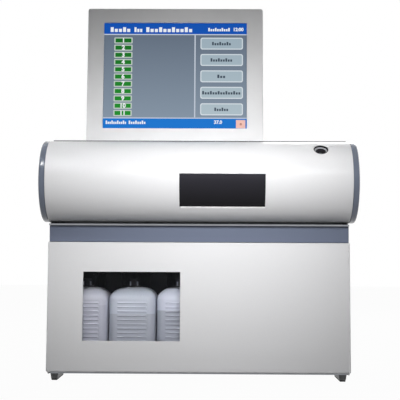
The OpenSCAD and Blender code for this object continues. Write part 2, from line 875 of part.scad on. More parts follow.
// Mains inlet below, switch frame above, in one moulding
module power_inlet() {
    flange_t = 2.4;
    y1 = back_y + flange_t;
    depth = 18;
    switch_w = 14;
    switch_h = 24;
    pin_len = 9;
    color(DARK) {
        difference() {
            union() {
                along_y(back_y, y1) translate([inlet_x, inlet_mid])
                    round_rect(inlet_size[0] + 8, inlet_size[1] + 8, 4);
                along_y(y1 - depth, y1)
                    translate([inlet_x, inlet_mid]) square(inlet_size, center = true);
            }
            along_y(y1 - depth + 2, y1 + cut) translate([inlet_x, inlet_z])
                polygon([[-12, -8.5], [12, -8.5], [12, 4], [7.5, 8.5], [-7.5, 8.5], [-12, 4]]);
            block([inlet_x - switch_w / 2, inlet_x + switch_w / 2], [y1 - depth + 2, y1 + cut],
                  [rocker_z - switch_h / 2, rocker_z + switch_h / 2]);
            bar_x(rocker_y, rocker_z, inlet_x - 9.5, inlet_x + 9.5, trunnion_r + run_gap);
        }
        for (p = [[-7, -3], [7, -3], [0, 3]])
            block([inlet_x + p[0] - 1, inlet_x + p[0] + 1], [y1 - depth + 1, y1 - depth + 2 + pin_len],
                  [inlet_z + p[1] - 2, inlet_z + p[1] + 2]);
    }
}

module power_rocker() {
    color([0.15, 0.15, 0.16]) translate([0, rocker_y, rocker_z]) rotate([rocker_throw / 2, 0, 0]) {
        bar_x(0, 0, inlet_x - 9.2, inlet_x + 9.2, trunnion_r);
        along_x(inlet_x - 6.6, inlet_x + 6.6)
            polygon([[-3.5, -7], [4.4, -9.8], [6.6, -9.8], [4.6, 0], [6.6, 9.8], [4.4, 9.8], [-3.5, 7]]);
    }
}

module interface_panel() {
    y1 = back_y + 1.6;
    usb = [13, 6];
    lan = [16, 13.5];
    serial = [20, 9];
    color([0.60, 0.61, 0.63]) difference() {
        union() {
            along_y(back_y, y1) translate([ports_x, ports_z])
                round_rect(ports_size[0] + 8, ports_size[1] + 8, 2);
            along_y(y1 - 16, y1) translate([ports_x, ports_z]) square(ports_size, center = true);
        }
        for (p = [[-34, 8, usb], [-34, -6, usb], [-12, 0, lan], [10, 0, lan], [34, 0, serial]])
            along_y(y1 - 13, y1 + cut)
                translate([ports_x + p[0], ports_z + p[1]]) square(p[2], center = true);
    }
}

// Drawer front: sloped sheet, turned back all round, with a lip behind
module cover_section(inset) {
    top_y = front_y - cover_top_out + inset;
    low_y = front_y - cover_low_out + inset;
    polygon([[low_y, cover_low + inset], [top_y, cover_top - inset],
             [front_y - front_gap - inset * 0.6, cover_top - inset],
             [front_y - front_gap - inset * 0.6, cover_low + inset]]);
}

module drawer_front() {
    color(SILVER) difference() {
        along_x(-half_w, half_w) cover_section(0);
        along_x(-half_w + cover_t, half_w - cover_t) cover_section(cover_t);
        block([-half_w + cover_lip, half_w - cover_lip], [front_y - 2 * cover_t, front_y + cut],
              [cover_low + cover_lip, cover_top - cover_lip]);
        block([shop_x - shop_w / 2, shop_x + shop_w / 2],
              [front_y - cover_low_out - cut, front_y - front_gap - 2 * cover_t],
              [shop_low, shop_low + shop_h]);
    }
}

// Outward distance of the drawer front's inner face at a height
function cover_inner_y(z) = front_y - cover_low_out + cover_t
    + (z - cover_low - cover_t) / (cover_top - cover_low - 2 * cover_t) * (cover_low_out - cover_top_out);

module bottle_window() {
    z0 = shop_low - pane_lap;
    z1 = shop_low + shop_h + pane_lap;
    color([0.75, 0.78, 0.80, 0.4])
        along_x(shop_x - shop_w / 2 - pane_lap, shop_x + shop_w / 2 + pane_lap)
            polygon([[cover_inner_y(z0), z0], [cover_inner_y(z1), z1],
                     [cover_inner_y(z1) + pane_t, z1], [cover_inner_y(z0) + pane_t, z0]]);
}

module drawer_tray() {
    divider = bottle_pitch - bottle_w - 0.5;
    side_top = slide_low + slide_h;
    color([0.55, 0.56, 0.58]) {
        block([-tray_half, tray_half], [tray_front, tray_back], [tray_low, tray_floor]);
        for (y = [tray_front, tray_back - tray_t])
            block([-tray_half, tray_half], [y, y + tray_t], [tray_low, tray_low + tray_wall_h]);
        for (x = [-tray_half, tray_half - tray_t])
            block([x, x + tray_t], [tray_front, tray_back], [tray_low, side_top]);
        for (i = [0, 1])
            translate([bottle_xs[i] + bottle_pitch / 2 - divider / 2, bottle_front, tray_low])
                cube([divider, bottle_d, 24]);
        block([waste_x + waste_w / 2 + 1, waste_x + waste_w / 2 + 3], [bottle_front, bottle_rear],
              [tray_low, tray_low + 24]);
        block([waste_x + waste_w / 2 + 3, tray_half],
              [bottle_front + 2 * gas_r + 2, bottle_front + 2 * gas_r + 4], [tray_low, tray_low + 24]);
    }
}

module bottle_backboard() {
    strip_w = 23.4;
    strip_t = 6;
    x1 = waste_x + waste_w / 2;
    color(DARK) {
        block([-tray_half + tray_t, x1], [board_y, board_y + board_t], [tray_floor, board_top]);
        for (i = [0, 1, 2])
            translate([bottle_xs[i] + bottle_pitch / 2 - strip_w / 2, board_y - strip_t / 2, bottle_top - 20])
                cube([strip_w, strip_t, board_top - bottle_top + 20]);
    }
}

// Bottle body: three crossed outlines give round edges and shoulders
module bottle_body(w, d, h, edge_r, top_r) {
    intersection() {
        linear_extrude(h) round_rect(w, d, edge_r);
        along_y(-d, d) bottle_profile(w, h, top_r);
        along_x(-w, w) bottle_profile(d, h, top_r);
    }
}

module bottle_profile(w, h, top_r) {
    translate([-w / 2, 0]) square([w, h - top_r]);
    translate([-w / 2 + top_r, 0]) square([w - 2 * top_r, h]);
    for (sx = [-1, 1]) translate([sx * (w / 2 - top_r), h - top_r]) circle(top_r);
}

module bottle(i) {
    ribs = floor((bottle_h - shoulder_r - 16) / rib_pitch);
    color(MILKY) translate([bottle_xs[i], bottle_mid_y, tray_floor]) difference() {
        union() {
            bottle_body(bottle_w, bottle_d, bottle_h, bottle_edge_r, shoulder_r);
            translate([0, 0, bottle_h - 2]) cylinder(r = neck_r, h = bottle_cap_h - 2);
            for (k = [0:ribs - 1])
                bar_x(-bottle_d / 2 + rib_r * 0.35, bottle_h - shoulder_r - 4 - k * rib_pitch,
                      -rib_len / 2, rib_len / 2, rib_r);
        }
        translate([0, 0, bottle_t])
            bottle_body(bottle_w - 2 * bottle_t, bottle_d - 2 * bottle_t, bottle_h - 2 * bottle_t,
                        bottle_edge_r - bottle_t, shoulder_r - bottle_t);
        translate([0, 0, bottle_h - 10]) cylinder(r = neck_r - bottle_t, h = bottle_cap_h + 10);
    }
}

module left_bottle() {
    bottle(0);
}

module middle_bottle() {
    bottle(1);
}

module right_bottle() {
    bottle(2);
}

module bottle_caps() {
    color([0.22, 0.22, 0.24]) for (x = bottle_xs) translate([x, bottle_mid_y, bottle_top]) difference() {
        union() {
            cylinder(r = bottle_cap_r + 2.4, h = 2.2);
            cylinder(r = bottle_cap_r, h = bottle_cap_h);
        }
        translate([0, 0, -cut]) cylinder(r = neck_r + seat, h = bottle_cap_h - 2 + cut);
    }
}

module reagent_fill() {
    t = bottle_t + seat;
    color([0.78, 0.80, 0.86]) for (i = [0:2])
        translate([bottle_xs[i], bottle_mid_y, tray_floor + t])
            linear_extrude(fill_h + (i == 2 ? 5 : i == 0 ? 12 : 0))
                round_rect(bottle_w - 2 * t, bottle_d - 2 * t, bottle_edge_r - t);
}

module pickup_tubes() {
    z = bottle_top + bottle_cap_h - 4;
    color([0.85, 0.86, 0.88]) difference() {
        union() {
            for (x = bottle_xs) bar_y(x, z, bottle_mid_y, board_y, tube_r);
            bar_y(waste_x, waste_top + 9, bottle_mid_y, board_y, tube_r);
        }
        for (x = bottle_xs) translate([x, bottle_mid_y, bottle_top]) cylinder(r = bottle_cap_r, h = 30);
        translate([waste_x, bottle_mid_y, tray_floor]) cylinder(r = waste_neck_r, h = waste_h + 30);
    }
}

module waste_container() {
    color([0.80, 0.78, 0.70]) translate([waste_x, bottle_mid_y, tray_floor]) {
        bottle_body(waste_w, bottle_d, waste_h, bottle_edge_r, shoulder_r);
        translate([0, 0, waste_h - 1]) cylinder(r = waste_neck_r, h = 16);
    }
}

module gas_cartridges() {
    color([0.72, 0.74, 0.76]) for (k = [0, 1])
        translate([gas_x, bottle_front + gas_r + k * (2 * gas_r + 6), tray_floor]) rotate_extrude() {
            square([gas_r, gas_h - 12]);
            translate([0, gas_h - 12]) intersection() {
                circle(gas_r);
                square([gas_r, 12]);
            }
            square([7, gas_h + 8]);
            square([10, gas_h + 4]);
        }
}

// Display
module bezel_outline(inset) {
    translate([0, display_h / 2])
        round_rect(display_w - 2 * inset, display_h - 2 * inset, max(bezel_r - inset, 1));
}

module display_bezel() {
    color(SILVER) in_display() difference() {
        along_y(0, bezel_d) bezel_outline(0);
        along_y(bezel_t, bezel_d + cut) bezel_outline(bezel_t);
        along_y(-cut, bezel_t + cut)
            translate([0, display_h / 2]) square([screen_w, screen_h], center = true);
    }
}

module touch_screen() {
    glass_t = 2;
    panel_t = 8;
    color([0.10, 0.11, 0.14]) in_display() {
        along_y(bezel_t, bezel_t + glass_t) translate([0, display_h / 2])
            square([screen_w + 10, screen_h + 10], center = true);
        along_y(bezel_t + glass_t, bezel_t + glass_t + panel_t) translate([0, display_h / 2])
            square([screen_w + 20, screen_h + 16], center = true);
        for (sx = [-1, 1], z = [20, display_h - 20])
            bar_y(sx * (screen_w / 2 + 5), z, bezel_t + glass_t + panel_t - cut, bezel_d, 3);
    }
}

module display_back() {
    y0 = bezel_d;
    y1 = bezel_d + bezel_t;
    y2 = bezel_d + bulge_d;
    bulge_low = tilt_z + tilt_lug_r + 3;
    bulge_top = display_h - 14;
    color([0.62, 0.63, 0.65]) in_display() difference() {
        union() {
            along_y(y0, y1) bezel_outline(0);
            along_y(y0, y2) translate([0, (bulge_low + bulge_top) / 2])
                round_rect(display_w - 36, bulge_top - bulge_low, 12);
            for (x = [-lug_x, lug_x]) {
                bar_x(tilt_y, tilt_z, x - lug_w / 2, x + lug_w / 2, tilt_lug_r);
                block([x - lug_w / 2, x + lug_w / 2], [y1 - 1, tilt_y],
                      [tilt_z - tilt_lug_r, tilt_z + tilt_lug_r]);
                block([x - lug_w / 2, x + lug_w / 2], [y1 - 1, y1 + 8], [tilt_z, bulge_low + 2]);
            }
        }
        along_y(y0 - cut, y2 - bezel_t) translate([0, (bulge_low + bulge_top) / 2])
            round_rect(display_w - 36 - 2 * bezel_t, bulge_top - bulge_low - 2 * bezel_t, 10);
        bar_x(tilt_y, tilt_z, -shaft_half, shaft_half, tilt_r + run_gap);
        for (i = [-4.5:4.5]) translate([i * 8, y2 - bezel_t - cut, bulge_top - 50])
            cube([3.5, bezel_t + 2 * cut, 30]);
    }
}

module display_stand() {
    ear_w = 8;
    ear_xs = [-lug_x - 18, -lug_x + 18, lug_x - 18 - ear_w, lug_x + 18 - ear_w];
    base_t = 3;
    color(STEEL) difference() {
        translate([display_x, 0, 0]) union() {
            block([-shaft_half, shaft_half], [pivot_y - 7, pivot_y + 38], [deck_z, deck_z + base_t]);
            for (x = ear_xs) {
                bar_x(pivot_y, pivot_z, x, x + ear_w, tilt_lug_r - 0.5);
                along_x(x, x + ear_w)
                    polygon([[pivot_y - 7, deck_z + 1], [pivot_y - 7, pivot_z], [pivot_y + 7, pivot_z],
                             [pivot_y + 16, deck_z + 1]]);
            }
        }
        bar_x(pivot_y, pivot_z, display_x - shaft_half - cut, display_x + shaft_half + cut, tilt_r + run_gap);
        display_cable_slot();
    }
}

module tilt_shaft() {
    color(STEEL) bar_x(pivot_y, pivot_z, display_x - shaft_half, display_x + shaft_half, tilt_r);
}

base_plate();
skids();
foot_pads();
left_side_panel();
right_side_panel();
rear_panel();
top_deck();
left_end_cap();
right_end_cap();
trim_band();
front_crossbar();
bay_shelf();
bay_backplate();
outer_rails();
rear_bumpers();
case_screws();
hood_shell();
hood_window();
port_ring();
hinge_moving_leaf();
hinge_fixed_leaf();
hinge_pin();
pump_body();
pump_motor();
pump_hose();
pump_rotor();
pump_rollers();
measuring_chamber();
electrodes();
valve_block();
solenoid_valves();
sampler_block();
sample_inlet();
fluid_lines();
main_board();
power_supply();
fan_housing();
fan_impeller();
power_inlet();
power_rocker();
interface_panel();
mid_rails();
inner_rails();
drawer_front();
bottle_window();
drawer_tray();
bottle_backboard();
left_bottle();
middle_bottle();
right_bottle();
bottle_caps();
reagent_fill();
pickup_tubes();
waste_container();
gas_cartridges();
display_bezel();
display_back();
touch_screen();
display_stand();
tilt_shaft();
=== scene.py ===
import bmesh
import bpy
import json
import math
from mathutils import Matrix, Vector


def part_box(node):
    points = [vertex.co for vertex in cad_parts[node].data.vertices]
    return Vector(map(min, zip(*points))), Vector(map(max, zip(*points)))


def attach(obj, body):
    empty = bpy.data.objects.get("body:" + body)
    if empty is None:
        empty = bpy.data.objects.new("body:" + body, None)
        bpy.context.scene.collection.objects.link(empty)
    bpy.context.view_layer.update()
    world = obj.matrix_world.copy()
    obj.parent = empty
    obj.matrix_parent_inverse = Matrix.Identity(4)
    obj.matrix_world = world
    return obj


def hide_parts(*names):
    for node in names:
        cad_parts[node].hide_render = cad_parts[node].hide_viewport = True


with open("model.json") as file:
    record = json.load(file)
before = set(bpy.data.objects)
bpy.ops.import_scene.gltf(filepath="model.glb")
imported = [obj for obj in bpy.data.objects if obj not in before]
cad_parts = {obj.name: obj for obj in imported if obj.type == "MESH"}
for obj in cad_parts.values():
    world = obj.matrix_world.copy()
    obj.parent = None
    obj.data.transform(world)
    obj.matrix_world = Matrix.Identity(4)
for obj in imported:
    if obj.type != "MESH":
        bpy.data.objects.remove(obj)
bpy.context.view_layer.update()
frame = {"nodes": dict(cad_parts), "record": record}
scene = bpy.context.scene
MM = 0.001

# %% [markdown]
# Each node of the model belongs to a body, which moves, and to a material slot, which names its
# finish. Both could be written beside each piece, but two dictionaries read from the record answer
# for every piece that follows, and can't disagree with it.
# %% Bodies and slots by node
behaviour = frame["record"]["behaviour"]
BODY = {node: body for body, nodes in behaviour["bodies"].items() for node in nodes}
SLOT = {part["node"]: part["material_slot"] for part in frame["record"]["subparts"]}

# %% [markdown]
# The camera stands about 1.4 m in front of the unit, a little right of its middle and low, and
# looks slightly upwards through a portrait lens. A camera can be set by eye, but this one's place
# was found by fitting the edges of the model to those of the photograph, so the two agree.
# %% Camera
CAMERA_PLACE = Vector((15.19, -1497.93, 177.51)) * MM
CAMERA_YAW = 0.0101  # this angle and the next two are in radians
CAMERA_PITCH = 0.0551
CAMERA_ROLL = 0.0048
FOCAL_PIXELS = 978.97
PICTURE_PIXELS = 400
SENSOR_WIDTH = 36

forward = Vector((-math.sin(CAMERA_YAW) * math.cos(CAMERA_PITCH),
                  math.cos(CAMERA_YAW) * math.cos(CAMERA_PITCH), math.sin(CAMERA_PITCH)))
level = Vector((math.cos(CAMERA_YAW), math.sin(CAMERA_YAW), 0))
upright = level.cross(forward)
right = math.cos(CAMERA_ROLL) * level + math.sin(CAMERA_ROLL) * upright
up = -math.sin(CAMERA_ROLL) * level + math.cos(CAMERA_ROLL) * upright
camera_data = bpy.data.cameras.new("camera")
camera_data.sensor_width = SENSOR_WIDTH
camera_data.lens = FOCAL_PIXELS / PICTURE_PIXELS * SENSOR_WIDTH
camera = bpy.data.objects.new("camera", camera_data)
scene.collection.objects.link(camera)
facing = Matrix((right, up, -forward)).transposed().to_4x4()
camera.matrix_world = Matrix.Translation(CAMERA_PLACE) @ facing
scene.camera = camera
scene.view_settings.view_transform = "Standard"
print("lens in mm:", round(camera_data.lens, 2))

# %% [markdown]
# A finish is a tree of nodes, and its maths could be wired up node by node. It reads best as
# maths, though: Value wraps a node's socket, so a + b or 1 - mask adds the Math node that does it,
# and one method of Nodes adds any other node.
# %% Shader helpers
class Value:
    """A socket that can be used in sums"""

    def __init__(self, nodes, socket):
        self.nodes = nodes
        self.socket = socket

    def maths(self, operation, first, second):
        return self.nodes.node("ShaderNodeMath", {"operation": operation}, {0: first, 1: second})

    def __add__(self, other):
        return self.maths("ADD", self, other)

    def __sub__(self, other):
        return self.maths("SUBTRACT", self, other)

    def __rsub__(self, other):
        return self.maths("SUBTRACT", other, self)

    def __mul__(self, other):
        return self.maths("MULTIPLY", self, other)

    def __truediv__(self, other):
        return self.maths("DIVIDE", self, other)

    def __gt__(self, other):
        return self.maths("GREATER_THAN", self, other)

    def or_more(self, other):
        return self.maths("MAXIMUM", self, other)

    def clipped(self):
        return self.nodes.node("ShaderNodeClamp", {}, {"Value": self})

    __radd__ = __add__
    __rmul__ = __mul__


class Nodes:
    """The node tree of a material or of the world"""

    def __init__(self, tree):
        self.tree = tree

    def node(self, kind, settings, values, out=0):
        made = self.tree.nodes.new(kind)
        for name, setting in settings.items():
            setattr(made, name, setting)
        for name, value in values.items():
            self.feed(made.inputs[name], value)
        return Value(self, made.outputs[out])

    def feed(self, socket, value):
        if isinstance(value, Value):
            self.tree.links.new(value.socket, socket)
        else:
            socket.default_value = value

    def seen_share(self):
        """1 for camera, glossy and transmission rays, and 0 for the rest"""
        camera, glossy, through = (self.node("ShaderNodeLightPath", {}, {}, out=f"Is {ray} Ray")
                                   for ray in ("Camera", "Glossy", "Transmission"))
        return camera.or_more(glossy).or_more(through)


class Finish(Nodes):
    """A material whose shader reads the piece's own coordinates"""

    def __init__(self, name, **constants):
        self.material = bpy.data.materials.new(name)
        self.material.use_nodes = True
        super().__init__(self.material.node_tree)
        self.shader = self.tree.nodes["Principled BSDF"]
        for socket, value in constants.items():
            self.shader.inputs[socket.replace("_", " ")].default_value = value

    def set(self, socket, value):
        self.feed(self.shader.inputs[socket], value)

    def place(self):
        return self.node("ShaderNodeTexCoord", {}, {}, out="Object")

    def axis(self, letter):
        return self.node("ShaderNodeSeparateXYZ", {}, {"Vector": self.place()}, out=letter)

    def noise(self, size, detail=2.0, stretch=(1, 1, 1)):
        """Cloudy pattern from 0 to 1, with lumps of a size that stretch draws out along an axis"""
        scale = [1 / (size * s) for s in stretch]
        scaled = self.node("ShaderNodeMapping", {}, {"Vector": self.place(), "Scale": scale})
        return self.node("ShaderNodeTexNoise", {},
                         {"Vector": scaled, "Scale": 1.0, "Detail": detail})

    def between(self, low, high, share):
        """Colour between two colours. The numbers are the Mix node's own sockets for colours"""
        return self.node("ShaderNodeMix", {"data_type": "RGBA"}, {0: share, 6: low, 7: high}, out=2)

    def relief(self, height, depth):
        self.set("Normal", self.node("ShaderNodeBump", {}, {"Height": height, "Distance": depth}))


def tint(code):
    """Linear colour from a six-figure screen colour, by the screen's own tone curve"""
    parts = [int(code[i:i + 2], 16) / 255 for i in (0, 2, 4)]
    return [p / 12.92 if p <= 0.04045 else ((p + 0.055) / 1.055) ** 2.4 for p in parts] + [1.0]


# %% [markdown]
# The sheet metal is sprayed in a satin silver-white with a fine metal flake. One flat colour would
# look like card, so the flake is a tiny noise in the colour, the sprayed skin a shallow ripple in
# the surface, and handling leaves duller clouds in the gloss.
# %% Paints
FLAKE = 0.5 * MM
SPRAY_RIPPLE = 1.6 * MM
HANDLING_CLOUDS = 60 * MM


def paint(name, dark, light, metallic, roughness, ripple):
    made = Finish(name, Metallic=metallic, Specular_IOR_Level=0.35)
    made.set("Base Color", made.between(tint(dark), tint(light), made.noise(FLAKE)))
    made.set("Roughness", roughness + 0.06 * made.noise(HANDLING_CLOUDS))
    made.relief(made.noise(SPRAY_RIPPLE), ripple * MM)
    return made.material


FINISH = {}
for entry in (
    ("silver_paint", "d4d4d6", "e0e0e1", 0.06, 0.38, 0.012),
    ("blue_grey_paint", "5e6577", "687082", 0.05, 0.36, 0.008),
    ("skid_grey", "7a7a7b", "868687", 0.1, 0.45, 0.01),
):
    FINISH[entry[0]] = paint(*entry)
print("paints:", ", ".join(FINISH))

# %% [markdown]
# Moulded plastic carries the fine spark-eroded grain of its mould, and its gloss drifts slightly
# across each face. The grain could be real bumps in the mesh, but as relief it costs no faces. One
# function makes them all, from dull rubber to glossy end caps.
# %% Plastics
SHADE_DRIFT = 35 * MM
GLOSS_DRIFT = 22 * MM


def plastic(name, dark, light, roughness, grain, depth, coat=0.0, gloss=0.3):
    """A moulded finish, with the size and depth of its grain in mm"""
    made = Finish(name, Coat_Weight=coat, Coat_Roughness=0.12, Specular_IOR_Level=gloss)
    made.set("Base Color", made.between(tint(dark), tint(light), made.noise(SHADE_DRIFT, 3.0)))
    made.set("Roughness", roughness + 0.07 * made.noise(GLOSS_DRIFT))
    made.relief(made.noise(grain * MM), depth * MM)
    return made.material


for entry in (
    ("display_plastic", "d0d0d1", "dadadb", 0.38, 0.7, 0.02, 0.1),
    ("display_back_plastic", "9d9ea2", "a6a7ab", 0.5, 0.9, 0.05),
    ("blue_grey_plastic", "586070", "646c7e", 0.22, 0.8, 0.006, 0.5),
    ("black_rubber", "1c1c1d", "262627", 0.75, 0.6, 0.06),
    ("black_plastic", "202022", "2b2b2e", 0.5, 0.7, 0.03, 0.0, 0.15),
    ("charcoal_plastic", "47464a", "525156", 0.5, 0.7, 0.03, 0.0, 0.15),
    ("grey_tray", "85868a", "909195", 0.5, 1.1, 0.05),
    ("white_plastic", "d6d6d2", "e2e2de", 0.4, 0.8, 0.02),
    ("electrode_red", "84302a", "963a32", 0.25, 0.8, 0.01, 0.3),
    ("waste_plastic", "cdc8b8", "d8d4c6", 0.42, 1.2, 0.04),
    ("silicone_hose", "d2cfc2", "dedbd0", 0.35, 0.9, 0.01),
    ("reagent", "b8bcc8", "c2c6d0", 0.2, 2.0, 0.01),
):
    FINISH[entry[0]] = plastic(*entry)
print(len(FINISH), "finishes with the plastics")

# %% [markdown]
# The bare metal inside is brushed, zinc plated or machined. Anisotropic gloss would show that it
# is brushed, but not the separate marks. So the marks are a noise drawn out along one axis, which
# feeds the roughness and a shallow relief.
# %% Metals
BRUSH_MARK = 0.5 * MM
METAL_CLOUDS = 12 * MM


def metal(name, dark, light, roughness, stretch):
    made = Finish(name, Metallic=0.85)
    marks = made.noise(BRUSH_MARK, 3.0, stretch)
    made.set("Base Color", made.between(tint(dark), tint(light), made.noise(METAL_CLOUDS, 4.0)))
    made.set("Roughness", roughness + 0.16 * marks)
    made.relief(marks, 0.01 * MM)
    return made.material


for entry in (
    ("zinc_steel", "8a8d92", "a0a3a8", 0.34, (60, 4, 1)),
    ("bright_steel", "b4b6ba", "c4c6ca", 0.2, (50, 1, 1)),
    ("chamber_aluminium", "aeb0b4", "bfc1c5", 0.3, (40, 1, 1)),
    ("nickel_plate", "9c9b98", "adaca9", 0.28, (30, 1, 1)),
    # hinge steel darkened as painted shade, for the dark gap along the hood's top edge
    ("hinge_steel_painted_shade", "3a393a", "484748", 0.45, (60, 1, 1)),
):
    FINISH[entry[0]] = metal(*entry)
print(len(FINISH), "finishes with the metals")

# %% [markdown]
# The circuit board shows its copper tracks as paler lines under the green mask. They could be
# drawn one by one, but the board lies deep inside, and the joints of a brick pattern of very flat
# bricks give such parallel runs at once.
# %% Circuit board
TRACK_SCALE = 220.0
TRACK_WIDTH = 0.03


def circuit_board():
    made = Finish("board_green", Coat_Weight=0.3, Coat_Roughness=0.2)
    tracks = made.node("ShaderNodeTexBrick", {}, {"Vector": made.place(), "Scale": TRACK_SCALE,
                                                  "Mortar Size": TRACK_WIDTH}, out="Fac")
    made.set("Base Color", made.between(tint("174a2e"), tint("3a7a4c"), tracks * 0.7))
    made.set("Roughness", 0.35 + 0.1 * made.noise(8 * MM))
    made.relief(tracks, 0.03 * MM)
    return made.material


FINISH["board_green"] = circuit_board()
print(len(FINISH), "finishes with the board")

# %% [markdown]
# The hood's pane is smoked acrylic: nearly black from outside, and a little paler towards its top,
# which is painted light.
# The touch screen's glass is as dark and wears the same. The drawer's pane is clear. A glass that
# bends light is slow and grainy to render, so this one is nearly all transparent, with a faint
# gloss. All three have fine scratches in their roughness.
# %% Panes
SCRATCH = 0.8 * MM
SCRATCH_STRETCH = (30, 1, 1)


def smoked_pane():
    low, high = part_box("hood_window")
    made = Finish("smoked_acrylic", Specular_IOR_Level=0.12)
    # the pane is paler towards its top as painted light, not as a tint of the acrylic
    height = ((made.axis("Z") - low.z) / (high.z - low.z)).clipped()
    share = height * (0.85 + 0.15 * made.noise(50 * MM))
    made.set("Base Color", made.between(tint("09090b"), tint("2b2a31"), share))
    made.set("Roughness", 0.16 + 0.05 * made.noise(SCRATCH, 2.0, SCRATCH_STRETCH))
    return made.material


def clear_pane():
    made = Finish("clear_acrylic", Specular_IOR_Level=0.3)
    made.set("Base Color", made.between(tint("50545a"), tint("5c6066"), made.noise(40 * MM)))
    made.set("Roughness", 0.12 + 0.05 * made.noise(SCRATCH, 2.0, SCRATCH_STRETCH))
    made.set("Alpha", 0.02 + 0.02 * made.noise(25 * MM))
    return made.material


FINISH["smoked_acrylic"] = smoked_pane()
FINISH["clear_acrylic"] = clear_pane()
FINISH["screen_glass"] = smoked_pane()
print(len(FINISH), "finishes with the panes")

# %% [markdown]
# The bottles are milky polyethylene. Above the liquid the wall is pale and bluish, and below it
# the liquid behind the wall makes it greyer. The liquid could show through a wall that scatters
# light, but that takes many samples to come out clean, so the height along Z tells the shader
# which is which, and each bottle has its own level.
# %% Milky bottles
LEVEL_BLUR = 0.8 * MM


def milky(name, level, above, below):
    made = Finish(name, Coat_Weight=0.1, Coat_Roughness=0.3)
    wet = ((level - made.axis("Z")) / LEVEL_BLUR).clipped()
    cloud = made.noise(18 * MM, 3.0)
    wall = made.between(tint(above[0]), tint(above[1]), cloud)
    liquid = made.between(tint(below[0]), tint(below[1]), cloud)
    made.set("Base Color", made.between(wall, liquid, wet))
    made.set("Roughness", 0.36 + 0.08 * made.noise(9 * MM))
    made.relief(made.noise(2.2 * MM), 0.03 * MM)
    return made.material


FULL_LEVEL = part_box("reagent_fill")[1].z
# finish, mm used since it was full, colours above the level, colours below it
# the colours differ a little from bottle to bottle as painted light and shade for each place
BOTTLES = {
    "left_bottle": ("milky_bottle_left", 0, ("c4c6d4", "ccceda"), ("b8bac8", "c0c2d0")),
    "middle_bottle": ("milky_bottle_middle", 12, ("c0c6d4", "cad0dc"), ("acb0bc", "b4b8c4")),
    "right_bottle": ("milky_bottle_right", 7, ("cacede", "d3d7e6"), ("a8acb9", "b0b4c1")),
}
BOTTLE_FINISH = {node: milky(name, FULL_LEVEL - used * MM, above, below)
                 for node, (name, used, above, below) in BOTTLES.items()}
print("full level in mm:", round(FULL_LEVEL / MM, 1), "with", len(BOTTLE_FINISH), "bottles")

# %% [markdown]
# Modelling by hand always starts the same way: object mode, nothing selected, add a primitive,
# apply its place so that it sits in the mesh. These helpers do that, and pick selects parts of the
# mesh by a rule on their middle and direction, as a click would.
# %% Modelling helpers
SMOOTH_MARGIN = 8  # degrees by which smoothing reaches past the angle that is bevelled
FLAT_WEIGHT = 80


def clear():
    if bpy.context.mode != "OBJECT":
        bpy.ops.object.mode_set(mode="OBJECT")
    bpy.ops.object.select_all(action="DESELECT")


def only(piece):
    clear()
    piece.select_set(True)
    bpy.context.view_layer.objects.active = piece
    return piece


def settle(name):
    """Names the new piece and moves its place into its mesh"""
    piece = bpy.context.object
    piece.name = name
    piece.data.name = name
    bpy.ops.object.transform_apply(location=True, rotation=True, scale=True)
    return piece


def block(name, low, high):
    clear()
    low, high = Vector(low), Vector(high)
    bpy.ops.mesh.primitive_cube_add(size=1, location=(low + high) / 2)
    bpy.context.object.scale = high - low
    return settle(name)


def rod(name, middle, direction, radius, length, sides):
    clear()
    turn = Vector(direction).to_track_quat("Z", "Y").to_euler()
    bpy.ops.mesh.primitive_cylinder_add(vertices=sides, radius=radius, depth=length,
                                        location=middle, rotation=turn)
    return settle(name)


def pick(piece, kind, rule):
    """In edit mode, selects the faces, edges or vertices that pass the rule"""
    if bpy.context.mode != "EDIT_MESH":
        only(piece)
        bpy.ops.object.mode_set(mode="EDIT")
    bpy.ops.mesh.select_mode(type=kind)
    bpy.ops.mesh.select_all(action="DESELECT")
    mesh = bmesh.from_edit_mesh(piece.data)
    for part in {"FACE": mesh.faces, "EDGE": mesh.edges, "VERT": mesh.verts}[kind]:
        if kind == "FACE":
            middle, direction = part.calc_center_median(), part.normal
        elif kind == "EDGE":
            middle = (part.verts[0].co + part.verts[1].co) / 2
            direction = (part.verts[1].co - part.verts[0].co).normalized()
        else:
            middle, direction = part.co, part.normal
        if rule(middle, direction):
            part.select_set(True)
    mesh.select_flush_mode()
    bmesh.update_edit_mesh(piece.data)


def everything(middle, direction):
    """The rule that picks all"""
    return True


def apply(piece, kind, **settings):
    only(piece)
    made = piece.modifiers.new(kind, kind)
    for name, value in settings.items():
        setattr(made, name, value)
    bpy.ops.object.modifier_apply(modifier=made.name)
    return piece


def ease(piece, width, angle=32):
    """Rounds the sharp edges a little and shades the rest smooth, with flat faces kept flat"""
    apply(piece, "BEVEL", width=width, segments=2, limit_method="ANGLE",
          angle_limit=math.radians(angle))
    only(piece)
    bpy.ops.object.shade_smooth_by_angle(angle=math.radians(angle + SMOOTH_MARGIN))
    return apply(piece, "WEIGHTED_NORMAL", weight=FLAT_WEIGHT, keep_sharp=True)


def combine(piece, other, operation):
    """Adds another piece to this one, or cuts it out, and uses the other one up"""
    apply(piece, "BOOLEAN", object=other, operation=operation, solver="EXACT")
    bpy.data.objects.remove(other)


def copied(piece, name, shift):
    """A copy with its own mesh, moved by a distance"""
    only(piece)
    bpy.ops.object.duplicate(linked=False)
    bpy.context.object.location = shift
    return settle(name)


def column(first, count, pitch):
    """The first piece and its copies below it, one pitch apart"""
    return [first] + [copied(first, f"{first.name}_{i}", (0, 0, -i * pitch))
                      for i in range(1, count)]


def join(name, pieces):
    """One piece of several"""
    clear()
    for piece in pieces:
        piece.select_set(True)
    bpy.context.view_layer.objects.active = pieces[0]
    if len(pieces) > 1:
        bpy.ops.object.join()
    pieces[0].name = name
    pieces[0].data.name = name
    return pieces[0]


def wear(piece, material):
    piece.data.materials.clear()
    piece.data.materials.append(material)


